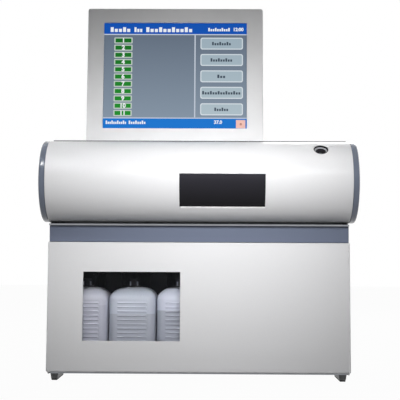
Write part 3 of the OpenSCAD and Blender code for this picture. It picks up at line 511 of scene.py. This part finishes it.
def stand_for(piece, node, material=None):
    """The piece takes a node's place: it rides on the node's body and wears its slot's finish"""
    clear()
    wear(piece, material or FINISH[SLOT[node]])
    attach(piece, BODY[node])
    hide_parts(node)
    print(piece.name, "stands for", node, "with", len(piece.data.polygons), "faces")


# %% [markdown]
# Turned and rolled parts, such as caps and hoods, could be cut from cylinders. Their outlines come
# out truer from a chain of edges, drawn by extruding one vertex, that is then spun round an axis.
# An open sheet gets its wall with Solidify afterwards, once its faces point outwards.
# %% Chains and spins
SAME_PLACE = 0.002 * MM


def chain(name, points):
    clear()
    bpy.ops.mesh.primitive_plane_add(size=MM, location=points[0])
    piece = settle(name)
    pick(piece, "VERT", everything)
    bpy.ops.mesh.merge(type="CENTER")
    for start, end in zip(points, points[1:]):
        step = Vector(end) - Vector(start)
        bpy.ops.mesh.extrude_vertices_move(TRANSFORM_OT_translate={"value": step})
    return piece


def spin(piece, centre, axis, passes):
    """Spins the whole chain about an axis, in one pass for each pair of degrees and steps"""
    pick(piece, "VERT", everything)
    for degrees, steps in passes:
        bpy.ops.mesh.spin(steps=steps, angle=math.radians(degrees), center=centre, axis=axis)
    pick(piece, "FACE", everything)
    bpy.ops.mesh.remove_doubles(threshold=SAME_PLACE)
    bpy.ops.mesh.normals_make_consistent(inside=False)
    clear()
    return piece


def face_away(piece, outward):
    """Turns an open sheet so that its faces point the way that outward gives for a place"""
    face = piece.data.polygons[0]
    if face.normal.dot(outward(face.center)) < 0:
        pick(piece, "FACE", everything)
        bpy.ops.mesh.flip_normals()
        clear()


# %% [markdown]
# The hood, its window and its sample port all lie on one barrel. Typed coordinates would drift
# apart, so the barrel's axis and radius are read from the model's boxes, and every place on it is
# then a distance along it and an angle, which is 0 level in front and 90 straight up.
# %% Barrel measures
hood_low, hood_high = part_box("hood_shell")
BARREL_R = hood_high.y - hood_low.y
AXIS = Vector((0, hood_high.y, hood_high.z - BARREL_R))
HOOD_LOW_ANGLE = -80
WINDOW_LAP = 6 * MM
WINDOW_LOW_ANGLE = -41.4
WINDOW_TOP_ANGLE = 8
pane_low, pane_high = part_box("hood_window")
WINDOW_X = (pane_low.x + WINDOW_LAP, pane_high.x - WINDOW_LAP)
PORT_ANGLE = math.radians(49.6)
PORT_R = 10.3 * MM
PORT_AXIS = Vector((0, -math.cos(PORT_ANGLE), math.sin(PORT_ANGLE)))
port_low, port_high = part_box("port_ring")
PORT_FOOT = Vector(((port_low.x + port_high.x) / 2, AXIS.y, AXIS.z))


def on_barrel(x, angle, radius):
    turned = math.radians(angle)
    return Vector((x, AXIS.y - radius * math.cos(turned), AXIS.z + radius * math.sin(turned)))


def angle_of(place):
    return math.degrees(math.atan2(place.z - AXIS.z, AXIS.y - place.y))


def from_axis(place):
    return place - Vector((place.x, AXIS.y, AXIS.z))


print("barrel radius", round(BARREL_R / MM, 2), "axis", [round(v / MM, 2) for v in AXIS])

# %% [markdown]
# The hood is one rolled sheet. A cylinder cut in half would do for the roll, but its edges would
# miss the window's. So a chain of points runs along the barrel at the lower edge, with stations at
# the sides of the window, and is spun upwards in three passes. The faces of the window are then
# deleted, a lip is turned inwards, the sheet gets its wall, and a round cutter opens the port.
# %% Hood sheet
HOOD_WALL = 2.5 * MM
HOOD_LIP = 5 * MM
PORT_CLEAR = 20 * MM
CUTTER_LENGTH = 20 * MM


def make_hood():
    stations = [hood_low.x, *WINDOW_X, PORT_FOOT.x - PORT_CLEAR, PORT_FOOT.x + PORT_CLEAR,
                hood_high.x]
    hood = chain("hood_cover", [on_barrel(x, HOOD_LOW_ANGLE, BARREL_R) for x in stations])
    spin(hood, AXIS, (1, 0, 0), [(WINDOW_LOW_ANGLE - HOOD_LOW_ANGLE, 16),
                                 (WINDOW_TOP_ANGLE - WINDOW_LOW_ANGLE, 20),
                                 (90 - WINDOW_TOP_ANGLE, 34)])
    face_away(hood, from_axis)
    pick(hood, "FACE", lambda middle, direction: WINDOW_X[0] < middle.x < WINDOW_X[1]
         and WINDOW_LOW_ANGLE < angle_of(middle) < WINDOW_TOP_ANGLE)
    bpy.ops.mesh.delete(type="FACE")
    pick(hood, "EDGE", lambda middle, direction: abs(direction.x) > 0.9
         and angle_of(middle) < HOOD_LOW_ANGLE + 0.5)
    inward = on_barrel(0, HOOD_LOW_ANGLE, -HOOD_LIP) - AXIS
    bpy.ops.mesh.extrude_region_move(TRANSFORM_OT_translate={"value": inward})
    apply(hood, "SOLIDIFY", thickness=HOOD_WALL, offset=-1, use_even_offset=True)
    cutter = rod("port_cutter", PORT_FOOT + PORT_AXIS * BARREL_R, PORT_AXIS, PORT_R,
                 CUTTER_LENGTH, 72)
    combine(hood, cutter, "DIFFERENCE")
    return ease(hood, 0.45 * MM)


stand_for(make_hood(), "hood_shell")

# %% [markdown]
# The smoked pane is a shorter piece of the same roll, held behind the opening with a lap all
# round. The port is a turned ring with a stepped funnel. Stacked cylinders would leave seams, so
# its outline is drawn once and spun full circle. A pale grey band on the ledge inside the funnel
# is found by its distance along the port's axis.
# %% Smoked pane and sample port
PANE_WALL = 2.2 * MM
PANE_GAP = 0.05 * MM
LEDGE = (53.7 * MM, 54.7 * MM)
# radius, and distance from the barrel's axis, in mm: up the outside, down the funnel, and closed
PORT_OUTLINE = [(10.2, 48.5), (10.2, 51.6), (12.4, 51.6), (12.4, 53.1), (10.2, 53.4), (10.2, 56.9),
                (9.2, 56.9), (9.0, 54.6), (7.0, 53.9), (6.8, 52.6), (5.4, 51.8), (4.8, 50.6),
                (4.1, 50.2), (4.0, 48.5), (10.2, 48.5)]


def make_pane():
    lap = math.degrees(WINDOW_LAP / BARREL_R)
    outer = BARREL_R - HOOD_WALL - PANE_GAP
    foot = [on_barrel(x, WINDOW_LOW_ANGLE - lap, outer) for x in (pane_low.x, pane_high.x)]
    pane = chain("smoked_pane", foot)
    spin(pane, AXIS, (1, 0, 0), [(WINDOW_TOP_ANGLE - WINDOW_LOW_ANGLE + 2 * lap, 30)])
    face_away(pane, from_axis)
    apply(pane, "SOLIDIFY", thickness=PANE_WALL, offset=-1)
    return ease(pane, 0.3 * MM)


def lathe(name, foot, axis, outline, steps=64):
    """Spins an outline of (radius, distance along the axis) pairs in mm into a turned part"""
    side = Vector(axis).orthogonal().normalized()
    points = [Vector(foot) + side * (r * MM) + Vector(axis) * (s * MM) for r, s in outline]
    return spin(chain(name, points), foot, axis, [(360, steps)])


def port_black():
    made = Finish("port_black", Specular_IOR_Level=0.15)
    height = ((made.axis("Y") - AXIS.y) * PORT_AXIS.y + (made.axis("Z") - AXIS.z) * PORT_AXIS.z)
    ledge = (height > LEDGE[0]) * (1 - (height > LEDGE[1]))
    made.set("Base Color", made.between(tint("1b1b1e"), tint("9a9a9e"), ledge))
    made.set("Roughness", 0.45 + 0.1 * made.noise(6 * MM))
    made.relief(made.noise(0.7 * MM), 0.02 * MM)
    return made.material


stand_for(make_pane(), "hood_window")
port = ease(lathe("port_funnel", PORT_FOOT, PORT_AXIS, PORT_OUTLINE), 0.25 * MM)
stand_for(port, "port_ring", port_black())

# %% [markdown]
# Each end cap closes the barrel: a moulded disc with a rolled rim, a shallow dish behind the rim
# and a slight crown in the middle. A bevelled cylinder has the rim but not the crown, so the cap
# is turned too.
# %% End caps
CAP_ROUND = 3.0
CAP_ROUND_ANGLES = (0, 22, 45, 67)
DISH_IN = 8
DISH_DEPTH = 0.4


def make_cap(name, node, side):
    low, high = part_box(node)
    thick = (high.x - low.x) / MM
    radius = (high.z - low.z) / 2 / MM
    seat = Vector((low.x if side > 0 else high.x, AXIS.y, AXIS.z))
    rim = [(radius - CAP_ROUND + CAP_ROUND * math.cos(math.radians(a)),
            thick - CAP_ROUND + CAP_ROUND * math.sin(math.radians(a))) for a in CAP_ROUND_ANGLES]
    dish = (radius - CAP_ROUND - DISH_IN, thick - DISH_DEPTH)
    outline = [(0, 0), (radius, 0)] + rim + [dish, (0, thick)]
    return ease(lathe(name, seat, (side, 0, 0), outline, 96), 0.4 * MM, angle=50)


stand_for(make_cap("left_cap", "left_end_cap", -1), "left_end_cap")
stand_for(make_cap("right_cap", "right_end_cap", 1), "right_end_cap")

# %% [markdown]
# The drawer front is a folded sheet that leans outwards at its foot. It could be unfolded and bent
# up flange by flange, but a block has all its folds already: its upper front edge is moved back,
# its upright and lower front edges are rounded, its back is opened up to a narrow fold, and the
# bottle window is cut out between four bisecting planes. Solidify then gives the sheet its wall.
# %% Drawer front
front_low, front_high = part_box("drawer_front")
BAND_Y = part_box("trim_band")[0].y
FRONT_TOP_OUT = 8.5 * MM
FRONT_WALL = 2.5 * MM
FRONT_FOLD = 20 * MM
FRONT_ROUND = 2.2 * MM
bottle_pane_low, bottle_pane_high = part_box("bottle_window")
OPENING_X = (bottle_pane_low.x + WINDOW_LAP, bottle_pane_high.x - WINDOW_LAP)
OPENING_Z = (bottle_pane_low.z + WINDOW_LAP, bottle_pane_high.z - WINDOW_LAP)


def bisect(piece, place, normal):
    pick(piece, "FACE", everything)
    bpy.ops.mesh.bisect(plane_co=place, plane_no=normal)


def make_drawer_front():
    front = block("drawer_panel", front_low, front_high)
    before_band = BAND_Y - 3 * MM
    below_top = front_high.z - MM
    pick(front, "VERT", lambda middle, direction: middle.y < front_low.y + MM
         and middle.z > below_top)
    bpy.ops.transform.translate(value=(0, BAND_Y - FRONT_TOP_OUT - front_low.y, 0))
    pick(front, "EDGE", lambda middle, direction: middle.y < before_band and middle.z < below_top)
    bpy.ops.mesh.bevel(offset=FRONT_ROUND, segments=5, affect="EDGES")
    pick(front, "FACE", lambda middle, direction: direction.y > 0.9)
    bpy.ops.mesh.inset(thickness=FRONT_FOLD)
    bpy.ops.mesh.delete(type="FACE")
    for x in OPENING_X:
        bisect(front, (x, 0, 0), (1, 0, 0))
    for z in OPENING_Z:
        bisect(front, (0, 0, z), (0, 0, 1))
    pick(front, "FACE", lambda middle, direction: middle.y < before_band and direction.y < -0.9
         and OPENING_X[0] < middle.x < OPENING_X[1] and OPENING_Z[0] < middle.z < OPENING_Z[1])
    bpy.ops.mesh.delete(type="FACE")
    apply(front, "SOLIDIFY", thickness=FRONT_WALL, offset=-1)
    return ease(front, 0.35 * MM)


stand_for(make_drawer_front(), "drawer_front")

# %% [markdown]
# The reagent bottles are blown, with soft shoulders and grip ribs. Each starts as a block with
# round upright edges. Its top face is extruded upwards ring by ring and drawn in along a quarter
# ellipse, which follows a blown shoulder better than one wide bevel, and then once more for the
# neck. One round-ended rib is modelled, copied down the front and united with the wall.
# %% Bottles
BOTTLE_TOP = 111.5 * MM
BOTTLE_EDGE = 12 * MM
BOTTLE_FOOT_EDGE = 4 * MM
SHOULDER_IN = 23 * MM
SHOULDER_RISE = 17 * MM
SHOULDER_STEPS = 10
NECK_R = 6.2 * MM
NECK_FOOT = 0.4 * MM
NECK_RISE = 8 * MM
RIB_R = 1.6 * MM
RIB_PROUD = 1.04 * MM
RIB_END = 1.2 * MM
RIB_LENGTH = 41.5 * MM
RIB_START = 4 * MM
RIB_PITCH = 6 * MM
RIB_COUNT = 13


def rise(distance):
    """Extrudes what is picked straight up"""
    bpy.ops.mesh.extrude_region_move(TRANSFORM_OT_translate={"value": (0, 0, distance)})


def make_bottle(node):
    low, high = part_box(node)
    wall = low.y + RIB_PROUD
    centre = Vector(((low.x + high.x) / 2, (wall + high.y) / 2, low.z))
    half_x, half_y = (high.x - low.x) / 2, (high.y - wall) / 2
    shoulder = low.z + BOTTLE_TOP - SHOULDER_RISE
    bottle = block(node + "_body", (low.x, wall, low.z), (high.x, high.y, shoulder))
    pick(bottle, "EDGE", lambda middle, direction: abs(direction.z) > 0.9)
    bpy.ops.mesh.bevel(offset=BOTTLE_EDGE, segments=8, affect="EDGES")
    pick(bottle, "EDGE", lambda middle, direction: middle.z < low.z + 0.1 * MM)
    bpy.ops.mesh.bevel(offset=BOTTLE_FOOT_EDGE, segments=3, affect="EDGES")
    pick(bottle, "FACE", lambda middle, direction: direction.z > 0.9)
    width, depth, height = half_x, half_y, 0.0
    for step in range(1, SHOULDER_STEPS + 1):
        turn = math.radians(90 * step / SHOULDER_STEPS)
        new_width = half_x - SHOULDER_IN * (1 - math.cos(turn))
        new_depth = half_y - (half_y - half_x + SHOULDER_IN) * (1 - math.cos(turn))
        new_height = SHOULDER_RISE * math.sin(turn)
        rise(new_height - height)
        bpy.ops.transform.resize(value=(new_width / width, new_depth / depth, 1),
                                 center_override=centre)
        width, depth, height = new_width, new_depth, new_height
    rise(NECK_FOOT)
    bpy.ops.transform.resize(value=(NECK_R / width, NECK_R / depth, 1), center_override=centre)
    rise(NECK_RISE)
    clear()
    place = (centre.x, wall + RIB_R - RIB_PROUD, shoulder - RIB_START)
    rib = rod("rib", place, (1, 0, 0), RIB_R, RIB_LENGTH, 16)
    pick(rib, "FACE", lambda middle, direction: abs(direction.x) > 0.9)
    bpy.ops.mesh.bevel(offset=RIB_END, segments=3, affect="EDGES")
    combine(bottle, join("grips", column(rib, RIB_COUNT, RIB_PITCH)), "UNION")
    only(bottle)
    bpy.ops.object.shade_smooth_by_angle(angle=math.radians(40))
    return bottle


for node in BOTTLES:
    stand_for(make_bottle(node), node, BOTTLE_FINISH[node])

# %% [markdown]
# The bottle caps are screw caps with a wide collar below and a grip of small ridges. A displaced
# surface could make the grip, but too softly at this size, so the cap is turned, and one ridge is
# modelled and copied round it.
# %% Bottle caps
COLLAR_R = 10
CAP_R = 7.2
CAP_TOP_R = 6.4
RIDGE_R = 0.4 * MM
RIDGE_COUNT = 24
RIDGE_UP = 0.8
RIDGE_SHORTER = 4


def make_caps():
    low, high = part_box("bottle_caps")
    tall = (high.z - low.z) / MM
    outline = [(0, 0), (COLLAR_R, 0), (COLLAR_R, 1.4), (9.4, 2.2), (CAP_R, 2.6), (CAP_R, tall - 1),
               (CAP_TOP_R, tall), (0, tall)]
    caps = []
    for node in BOTTLES:
        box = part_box(node)
        foot = Vector(((box[0].x + box[1].x) / 2, (low.y + high.y) / 2, low.z))
        caps.append(ease(lathe("cap_" + node, foot, (0, 0, 1), outline, 48), 0.2 * MM))
        place = foot + Vector((CAP_R, 0, tall / 2 + RIDGE_UP)) * MM
        ridge = rod("ridge", place, (0, 0, 1), RIDGE_R, (tall - RIDGE_SHORTER) * MM, 6)
        caps.append(ridge)
        for step in range(1, RIDGE_COUNT):
            turn = math.tau * step / RIDGE_COUNT
            shift = Vector((math.cos(turn) - 1, math.sin(turn), 0)) * CAP_R * MM
            caps.append(copied(ridge, f"ridge_{step}", shift))
    return join("bottle_cap_set", caps)


stand_for(make_caps(), "bottle_caps")

# %% [markdown]
# The display's housing is a moulded frame with soft edges round the glass. It leans back by three
# degrees, and modelling it leaning would make every rule about planes harder. So its pieces are
# modelled upright in a frame of their own, with the origin at the lower front edge in the middle,
# and then carried into place in one step.
# %% Display frame
LEAN = math.radians(3)
BEZEL_DEPTH = 18 * MM
BEZEL_BORDER = 21.45 * MM
BEZEL_WALL = 2.5 * MM
BEZEL_CORNER = 3.5 * MM
BEZEL_FRONT_EDGE = 1.2 * MM
bezel_low, bezel_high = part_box("display_bezel")
DISPLAY_FOOT = ((bezel_low.x + bezel_high.x) / 2, bezel_low.y,
                bezel_low.z + BEZEL_DEPTH * math.sin(LEAN))
DISPLAY = Matrix.Translation(DISPLAY_FOOT) @ Matrix.Rotation(-LEAN, 4, "X")
SCREEN_W = 211.2 * MM
SCREEN_H = 158.4 * MM
HOUSING_W = bezel_high.x - bezel_low.x
HOUSING_H = SCREEN_H + 2 * BEZEL_BORDER


def into_display(piece):
    only(piece)
    piece.matrix_world = DISPLAY
    bpy.ops.object.transform_apply(location=True, rotation=True, scale=True)
    return piece


def make_bezel():
    bezel = block("display_housing", (-HOUSING_W / 2, 0, 0),
                  (HOUSING_W / 2, BEZEL_DEPTH, HOUSING_H))
    on_front = 0.01 * MM
    pick(bezel, "EDGE", lambda middle, direction: abs(direction.y) > 0.9)
    bpy.ops.mesh.bevel(offset=BEZEL_CORNER, segments=6, affect="EDGES")
    pick(bezel, "EDGE", lambda middle, direction: middle.y < on_front)
    bpy.ops.mesh.bevel(offset=BEZEL_FRONT_EDGE, segments=4, affect="EDGES")
    pick(bezel, "FACE", lambda middle, direction: direction.y > 0.9)
    bpy.ops.mesh.delete(type="FACE")
    for side in (-1, 1):
        bisect(bezel, (side * SCREEN_W / 2, 0, 0), (1, 0, 0))
        bisect(bezel, (0, 0, HOUSING_H / 2 + side * SCREEN_H / 2), (0, 0, 1))
    pick(bezel, "FACE", lambda middle, direction: middle.y < on_front
         and abs(middle.x) < SCREEN_W / 2 and abs(middle.z - HOUSING_H / 2) < SCREEN_H / 2)
    bpy.ops.mesh.delete(type="FACE")
    apply(bezel, "SOLIDIFY", thickness=BEZEL_WALL, offset=-1, use_even_offset=True)
    return into_display(ease(bezel, 0.3 * MM))


stand_for(make_bezel(), "display_bezel")

# %% [markdown]
# A lit screen glows, so its picture is made of emission, not paint. It could be one material with
# a drawing in it. Here thin plates lie just in front of the glass instead, each with its own
# glowing colour, because their edges stay sharp at any distance.
# %% Lit colours
def lit(name, top, bottom):
    """Screen colour that runs from one shade at the picture's top to another at its foot"""
    made = Finish(name, Roughness=0.3, Emission_Strength=1.0, Specular_IOR_Level=0.05)
    made.set("Base Color", made.between(tint("020203"), tint("040405"), made.noise(9 * MM)))
    height = ((made.axis("Z") - screen_z[0]) / (screen_z[1] - screen_z[0])).clipped()
    made.set("Emission Color", made.between(tint(bottom), tint(top), height))
    return made.material


screen_z = [(DISPLAY @ Vector((0, 0, z))).z for z in (BEZEL_BORDER, BEZEL_BORDER + SCREEN_H)]
LIT = {
    "body": lit("screen_body", "5c6878", "8796a6"),
    "header": lit("screen_header", "0c4fae", "0e5cb8"),
    "footer": lit("screen_footer", "1a74cc", "1a74cc"),
    "white": lit("screen_white", "e8ecf0", "e8ecf0"),
    "rule": lit("screen_rule", "c4ccd8", "c4ccd8"),
    "outline": lit("screen_outline", "b8c8bc", "c0ccc4"),
    "tile": lit("screen_tile", "0e5e1c", "22902e"),
    "button": lit("screen_button", "96a8b4", "b0c0c8"),
    "edge": lit("screen_edge", "ccd6dc", "d6dee4"),
    "ink": lit("screen_ink", "3c4854", "465260"),
    "icon": lit("screen_icon", "f0c0b4", "f0c0b4"),
    "icon_mark": lit("screen_icon_mark", "c08a80", "c08a80"),
}
print("picture from", round(screen_z[0] / MM, 1), "to", round(screen_z[1] / MM, 1), "mm up")

# %% [markdown]
# Everything on the picture is placed by its shares across and down, as a screen designer would,
# and by its layer in front of the glass. Numbers are text that is made a mesh. Lines of writing
# are rows of small blocks, which look like writing at this size and take a fraction of the faces.
# %% Plates and numbers
GLASS_Y = 2.5 * MM
PLATE = 0.05 * MM
BLOCK_WIDE = 0.72
BLOCK_LOW = 0.66


def on_screen(u, v):
    """Place on the picture from its shares across and down"""
    return Vector(((u - 0.5) * SCREEN_W, 0, BEZEL_BORDER + (1 - v) * SCREEN_H))


def plate(name, u, v, layer, round_mm=0.0):
    """Thin plate between two shares across and two down, in a layer counted from the glass"""
    front = GLASS_Y - PLATE * (layer + 1)
    low, high = on_screen(u[0], v[1]), on_screen(u[1], v[0])
    made = block(name, (low.x, front, low.z), (high.x, front + 0.8 * PLATE, high.z))
    if round_mm:
        pick(made, "EDGE", lambda middle, direction: abs(direction.y) > 0.9)
        bpy.ops.mesh.bevel(offset=round_mm * MM, segments=4, affect="EDGES")
        clear()
    return made


def number(name, text, u, v, size_mm, layer):
    """Plain numbers, centred on a place of the picture"""
    clear()
    bpy.ops.object.text_add(rotation=(math.pi / 2, 0, 0))
    label = bpy.context.object.data
    label.body = text
    label.size = size_mm * MM
    label.align_x = "CENTER"
    label.align_y = "CENTER"
    label.extrude = 0.4 * PLATE
    label.offset = 0.04 * size_mm * MM
    label.resolution_u = 3
    bpy.ops.object.convert(target="MESH")
    away = Vector((0, GLASS_Y - PLATE * (layer + 0.6), 0))
    bpy.context.object.location = on_screen(u, v) + away
    return settle(name)


def letters(name, u, v, half, count, layer):
    """Row of small blocks on a middle line, every third one tall"""
    pitch = (u[1] - u[0]) / count
    row = []
    for i in range(count):
        top = v + half - 2 * half * (1.0 if i % 3 == 0 else BLOCK_LOW)
        start = u[0] + i * pitch
        row.append(plate(f"{name}_{i}", (start, start + BLOCK_WIDE * pitch), (top, v + half),
                         layer))
    return row


def show(name, pieces, colour):
    made = into_display(join(name, pieces))
    wear(made, LIT[colour])
    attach(made, "display")
    print(name, "shows", len(pieces), "shapes")


# %% [markdown]
# The picture: a header and a footer bar, a column of eleven value tiles on the left, a divider,
# and five buttons on the right. Each column's first tile or button is modelled and the rest are
# copies one pitch apart, so a column can't go out of line as it could if each were placed alone.
# %% Screen picture
HEADER_V = 0.104
FOOTER_V = 0.905
RULE_V = 0.009
DIVIDER_U = (0.634, 0.642)
DIVIDER_V = (HEADER_V + 0.01, FOOTER_V - 0.012)
TILE_U = (0.072, 0.2)
TILE_FIRST_V = 0.166
TILE_PITCH_V = 0.0689
TILE_COUNT = 11
TILE_HALF_V = 0.0285
TILE_RIM = (0.008, 0.009)
BUTTON_U = (0.676, 0.973)
BUTTON_FIRST_V = 0.194
BUTTON_PITCH_V = 0.1558
BUTTON_HALF_V = 0.0565
BUTTON_RIM = (0.007, 0.0095)
BUTTON_WORDS = (0.135, 0.155, 0.06, 0.27, 0.1)
BLOCKS_PER_WIDTH = 56
# shares across, middle line, half height and number of blocks
WORDS = [((0.045, 0.19), 0.062, 0.023, 5), ((0.212, 0.272), 0.062, 0.023, 3),
         ((0.295, 0.625), 0.062, 0.023, 11), ((0.73, 0.885), 0.06, 0.016, 10),
         ((0.02, 0.165), 0.942, 0.016, 11), ((0.18, 0.3), 0.942, 0.016, 8)]


def inside(u, v, rim):
    """Shares drawn in on all four sides by a rim across and down"""
    return (u[0] + rim[0], u[1] - rim[0]), (v[0] + rim[1], v[1] - rim[1])


show("screen_body", [plate("body", (0, 1), (HEADER_V, FOOTER_V), 0)], "body")
show("screen_header", [plate("header", (0, 1), (0, HEADER_V), 0)], "header")
show("screen_footer", [plate("footer", (0, 1), (FOOTER_V, 1), 0)], "footer")
show("screen_rules", [plate("rule_top", (0, 1), (HEADER_V, HEADER_V + RULE_V), 1),
                      plate("rule_low", (0, 1), (FOOTER_V - RULE_V, FOOTER_V), 1),
                      plate("divider", DIVIDER_U, DIVIDER_V, 1)], "rule")

tile_v = (TILE_FIRST_V - TILE_HALF_V, TILE_FIRST_V + TILE_HALF_V)
outline = plate("outline", TILE_U, tile_v, 1, round_mm=1.2)
show("tile_outlines", column(outline, TILE_COUNT, TILE_PITCH_V * SCREEN_H), "outline")
tile = plate("tile", *inside(TILE_U, tile_v, TILE_RIM), 2, round_mm=0.4)
show("tiles", column(tile, TILE_COUNT, TILE_PITCH_V * SCREEN_H), "tile")
show("tile_numbers", [number(f"number_{i}", str(i + 1), sum(TILE_U) / 2,
                             TILE_FIRST_V + i * TILE_PITCH_V, 9.0, 3) for i in range(TILE_COUNT)],
     "white")

button_v = (BUTTON_FIRST_V - BUTTON_HALF_V, BUTTON_FIRST_V + BUTTON_HALF_V)
button_count = len(BUTTON_WORDS)
edge = plate("edge", BUTTON_U, button_v, 1, round_mm=3.0)
show("button_edges", column(edge, button_count, BUTTON_PITCH_V * SCREEN_H), "edge")
button = plate("button", *inside(BUTTON_U, button_v, BUTTON_RIM), 2, round_mm=2.0)
show("buttons", column(button, button_count, BUTTON_PITCH_V * SCREEN_H), "button")
middle_u = sum(BUTTON_U) / 2
blocks = []
for i, wide in enumerate(BUTTON_WORDS):
    blocks += letters(f"choice_{i}", (middle_u - wide / 2, middle_u + wide / 2),
                      BUTTON_FIRST_V + i * BUTTON_PITCH_V, 0.016, round(wide * BLOCKS_PER_WIDTH), 3)
show("button_words", blocks, "ink")

show("words", [part for i, word in enumerate(WORDS) for part in letters(f"word_{i}", *word, 2)],
     "white")
show("clock", [number("time", "12:00", 0.94, 0.06, 7.0, 3),
               number("degrees", "37.0", 0.8, 0.94, 7.0, 3)], "white")
show("screen_icon", [plate("icon", (0.925, 0.99), (0.917, 0.995), 2)], "icon")
show("icon_mark", [plate("mark", (0.95, 0.966), (0.945, 0.968), 3, round_mm=1.5)], "icon_mark")

# %% [markdown]
# Every other node already has its right shape, and modelling it again would only add mistakes. A
# dressed copy merges the model's loose triangles, joins those that lie in one plane, rounds the
# sharp edges by a fraction of a millimetre so that they catch the light, and smooths round faces.
# %% Dressed copies of the remaining nodes
TRIANGLE_GAP = 0.001 * MM
ONE_PLANE = math.radians(0.5)
FINE_EDGE = 0.2
EDGE = {"silver_paint": 0.4, "blue_grey_paint": 0.5, "skid_grey": 0.6, "black_rubber": 0.6,
        "zinc_steel": 0.25, "display_back_plastic": 0.8, "grey_tray": 0.3,
        "charcoal_plastic": 0.5, "white_plastic": 0.4, "chamber_aluminium": 0.5,
        "black_plastic": 0.35, "waste_plastic": 0.8}


def dress(node):
    """Copy of a node with merged faces and eased edges, which stands for it"""
    clear()
    source = frame["nodes"][node]
    piece = bpy.data.objects.new(node + "_dressed", source.data.copy())
    scene.collection.objects.link(piece)
    pick(piece, "FACE", everything)
    bpy.ops.mesh.remove_doubles(threshold=TRIANGLE_GAP)
    bpy.ops.mesh.dissolve_limited(angle_limit=ONE_PLANE)
    clear()
    ease(piece, EDGE.get(SLOT[node], FINE_EDGE) * MM)
    # the hinge parts wear steel darkened as painted shade, for the gap along the hood's top
    stand_for(piece, node, FINISH["hinge_steel_painted_shade"] if node.startswith("hinge") else None)


remaining = [node for node in BODY if not frame["nodes"][node].hide_render]
for node in remaining:
    dress(node)
print("dressed", len(remaining), "nodes")

# %% [markdown]
# The stage is a plain pale table. A bright white floor and world would flood the object, so both
# are white only to the camera and in reflections, by the Light Path node, while the light that
# they give the object stays plain. A little of the floor's own shading is kept, so the unit keeps
# its contact shadow.
# %% Stage
FLOOR_SHADE = 0.03
FLOOR_SIZE = 8
FLOOR_DROP = 0.05 * MM
WORLD_LIGHT = 0.045
WHITE = (1, 1, 1, 1)
WORLD_TINT = (0.96, 0.98, 1.0, 1)

world = bpy.data.worlds.new("studio")
world.use_nodes = True
scene.world = world
sky = Nodes(world.node_tree)
plain = sky.node("ShaderNodeBackground", {}, {"Color": WORLD_TINT, "Strength": WORLD_LIGHT})
shown = sky.node("ShaderNodeBackground", {}, {"Color": WHITE})
mixed = sky.node("ShaderNodeMixShader", {}, {0: sky.seen_share(), 1: plain, 2: shown})
sky.feed(sky.tree.nodes["World Output"].inputs["Surface"], mixed)

clear()
bpy.ops.mesh.primitive_plane_add(size=FLOOR_SIZE, location=(0, 0, -FLOOR_DROP))
floor = settle("floor")
floor_look = Finish("floor", Base_Color=(0.3, 0.3, 0.3, 1), Roughness=0.9)
plain = Value(floor_look, floor_look.shader.outputs[0])
shown = floor_look.node("ShaderNodeEmission", {}, {"Color": WHITE})
share = floor_look.seen_share() * (1 - FLOOR_SHADE)
mixed = floor_look.node("ShaderNodeMixShader", {}, {0: share, 1: plain, 2: shown})
floor_look.feed(floor_look.tree.nodes["Material Output"].inputs["Surface"], mixed)
wear(floor, floor_look.material)
print("floor", FLOOR_SIZE, "m wide")

# %% [markdown]
# The key is a soft lamp in front, like a studio's softbox. A bare one would light the whole front
# evenly, so its beam is narrow, and its light falls off towards the sides, the foot and the
# display's top. A weaker lamp stands overhead, and a small one draws the highlight on the left
# cap. Three more light the rear and the sides, and hardly touch the front.
# %% Lamps
def lamp(name, place, aim, size, power, spread=180, seen_in_gloss=True):
    data = bpy.data.lights.new(name, "AREA")
    data.shape = "RECTANGLE"
    data.size, data.size_y = size
    data.energy = power
    data.spread = math.radians(spread)
    made = bpy.data.objects.new(name, data)
    scene.collection.objects.link(made)
    made.location = place
    made.rotation_euler = (Vector(aim) - Vector(place)).to_track_quat("-Z", "Y").to_euler()
    made.visible_camera = False
    made.visible_glossy = seen_in_gloss
    print(name, "lamp of", power, "W")


lamp("key", place=(0.03, -0.78, 0.51), aim=(0.02, -0.15, 0.265), size=(0.4, 0.3), power=0.82,
     spread=52, seen_in_gloss=False)
lamp("top", place=(0.1, -0.5, 1.3), aim=(0, -0.1, 0.25), size=(0.8, 0.6), power=0.9)
lamp("left", place=(-0.42, -0.78, 1.0), aim=(-0.215, -0.16, 0.3), size=(0.12, 0.35), power=0.035,
     spread=12)
lamp("rear", place=(0.3, 1.4, 1.0), aim=(0, 0.1, 0.25), size=(1.0, 0.8), power=14)
lamp("side_left", place=(-1.3, 0.3, 0.7), aim=(-0.2, 0.02, 0.25), size=(0.6, 0.6), power=4)
lamp("side_right", place=(1.3, 0.3, 0.7), aim=(0.2, 0.02, 0.25), size=(0.6, 0.6), power=4)
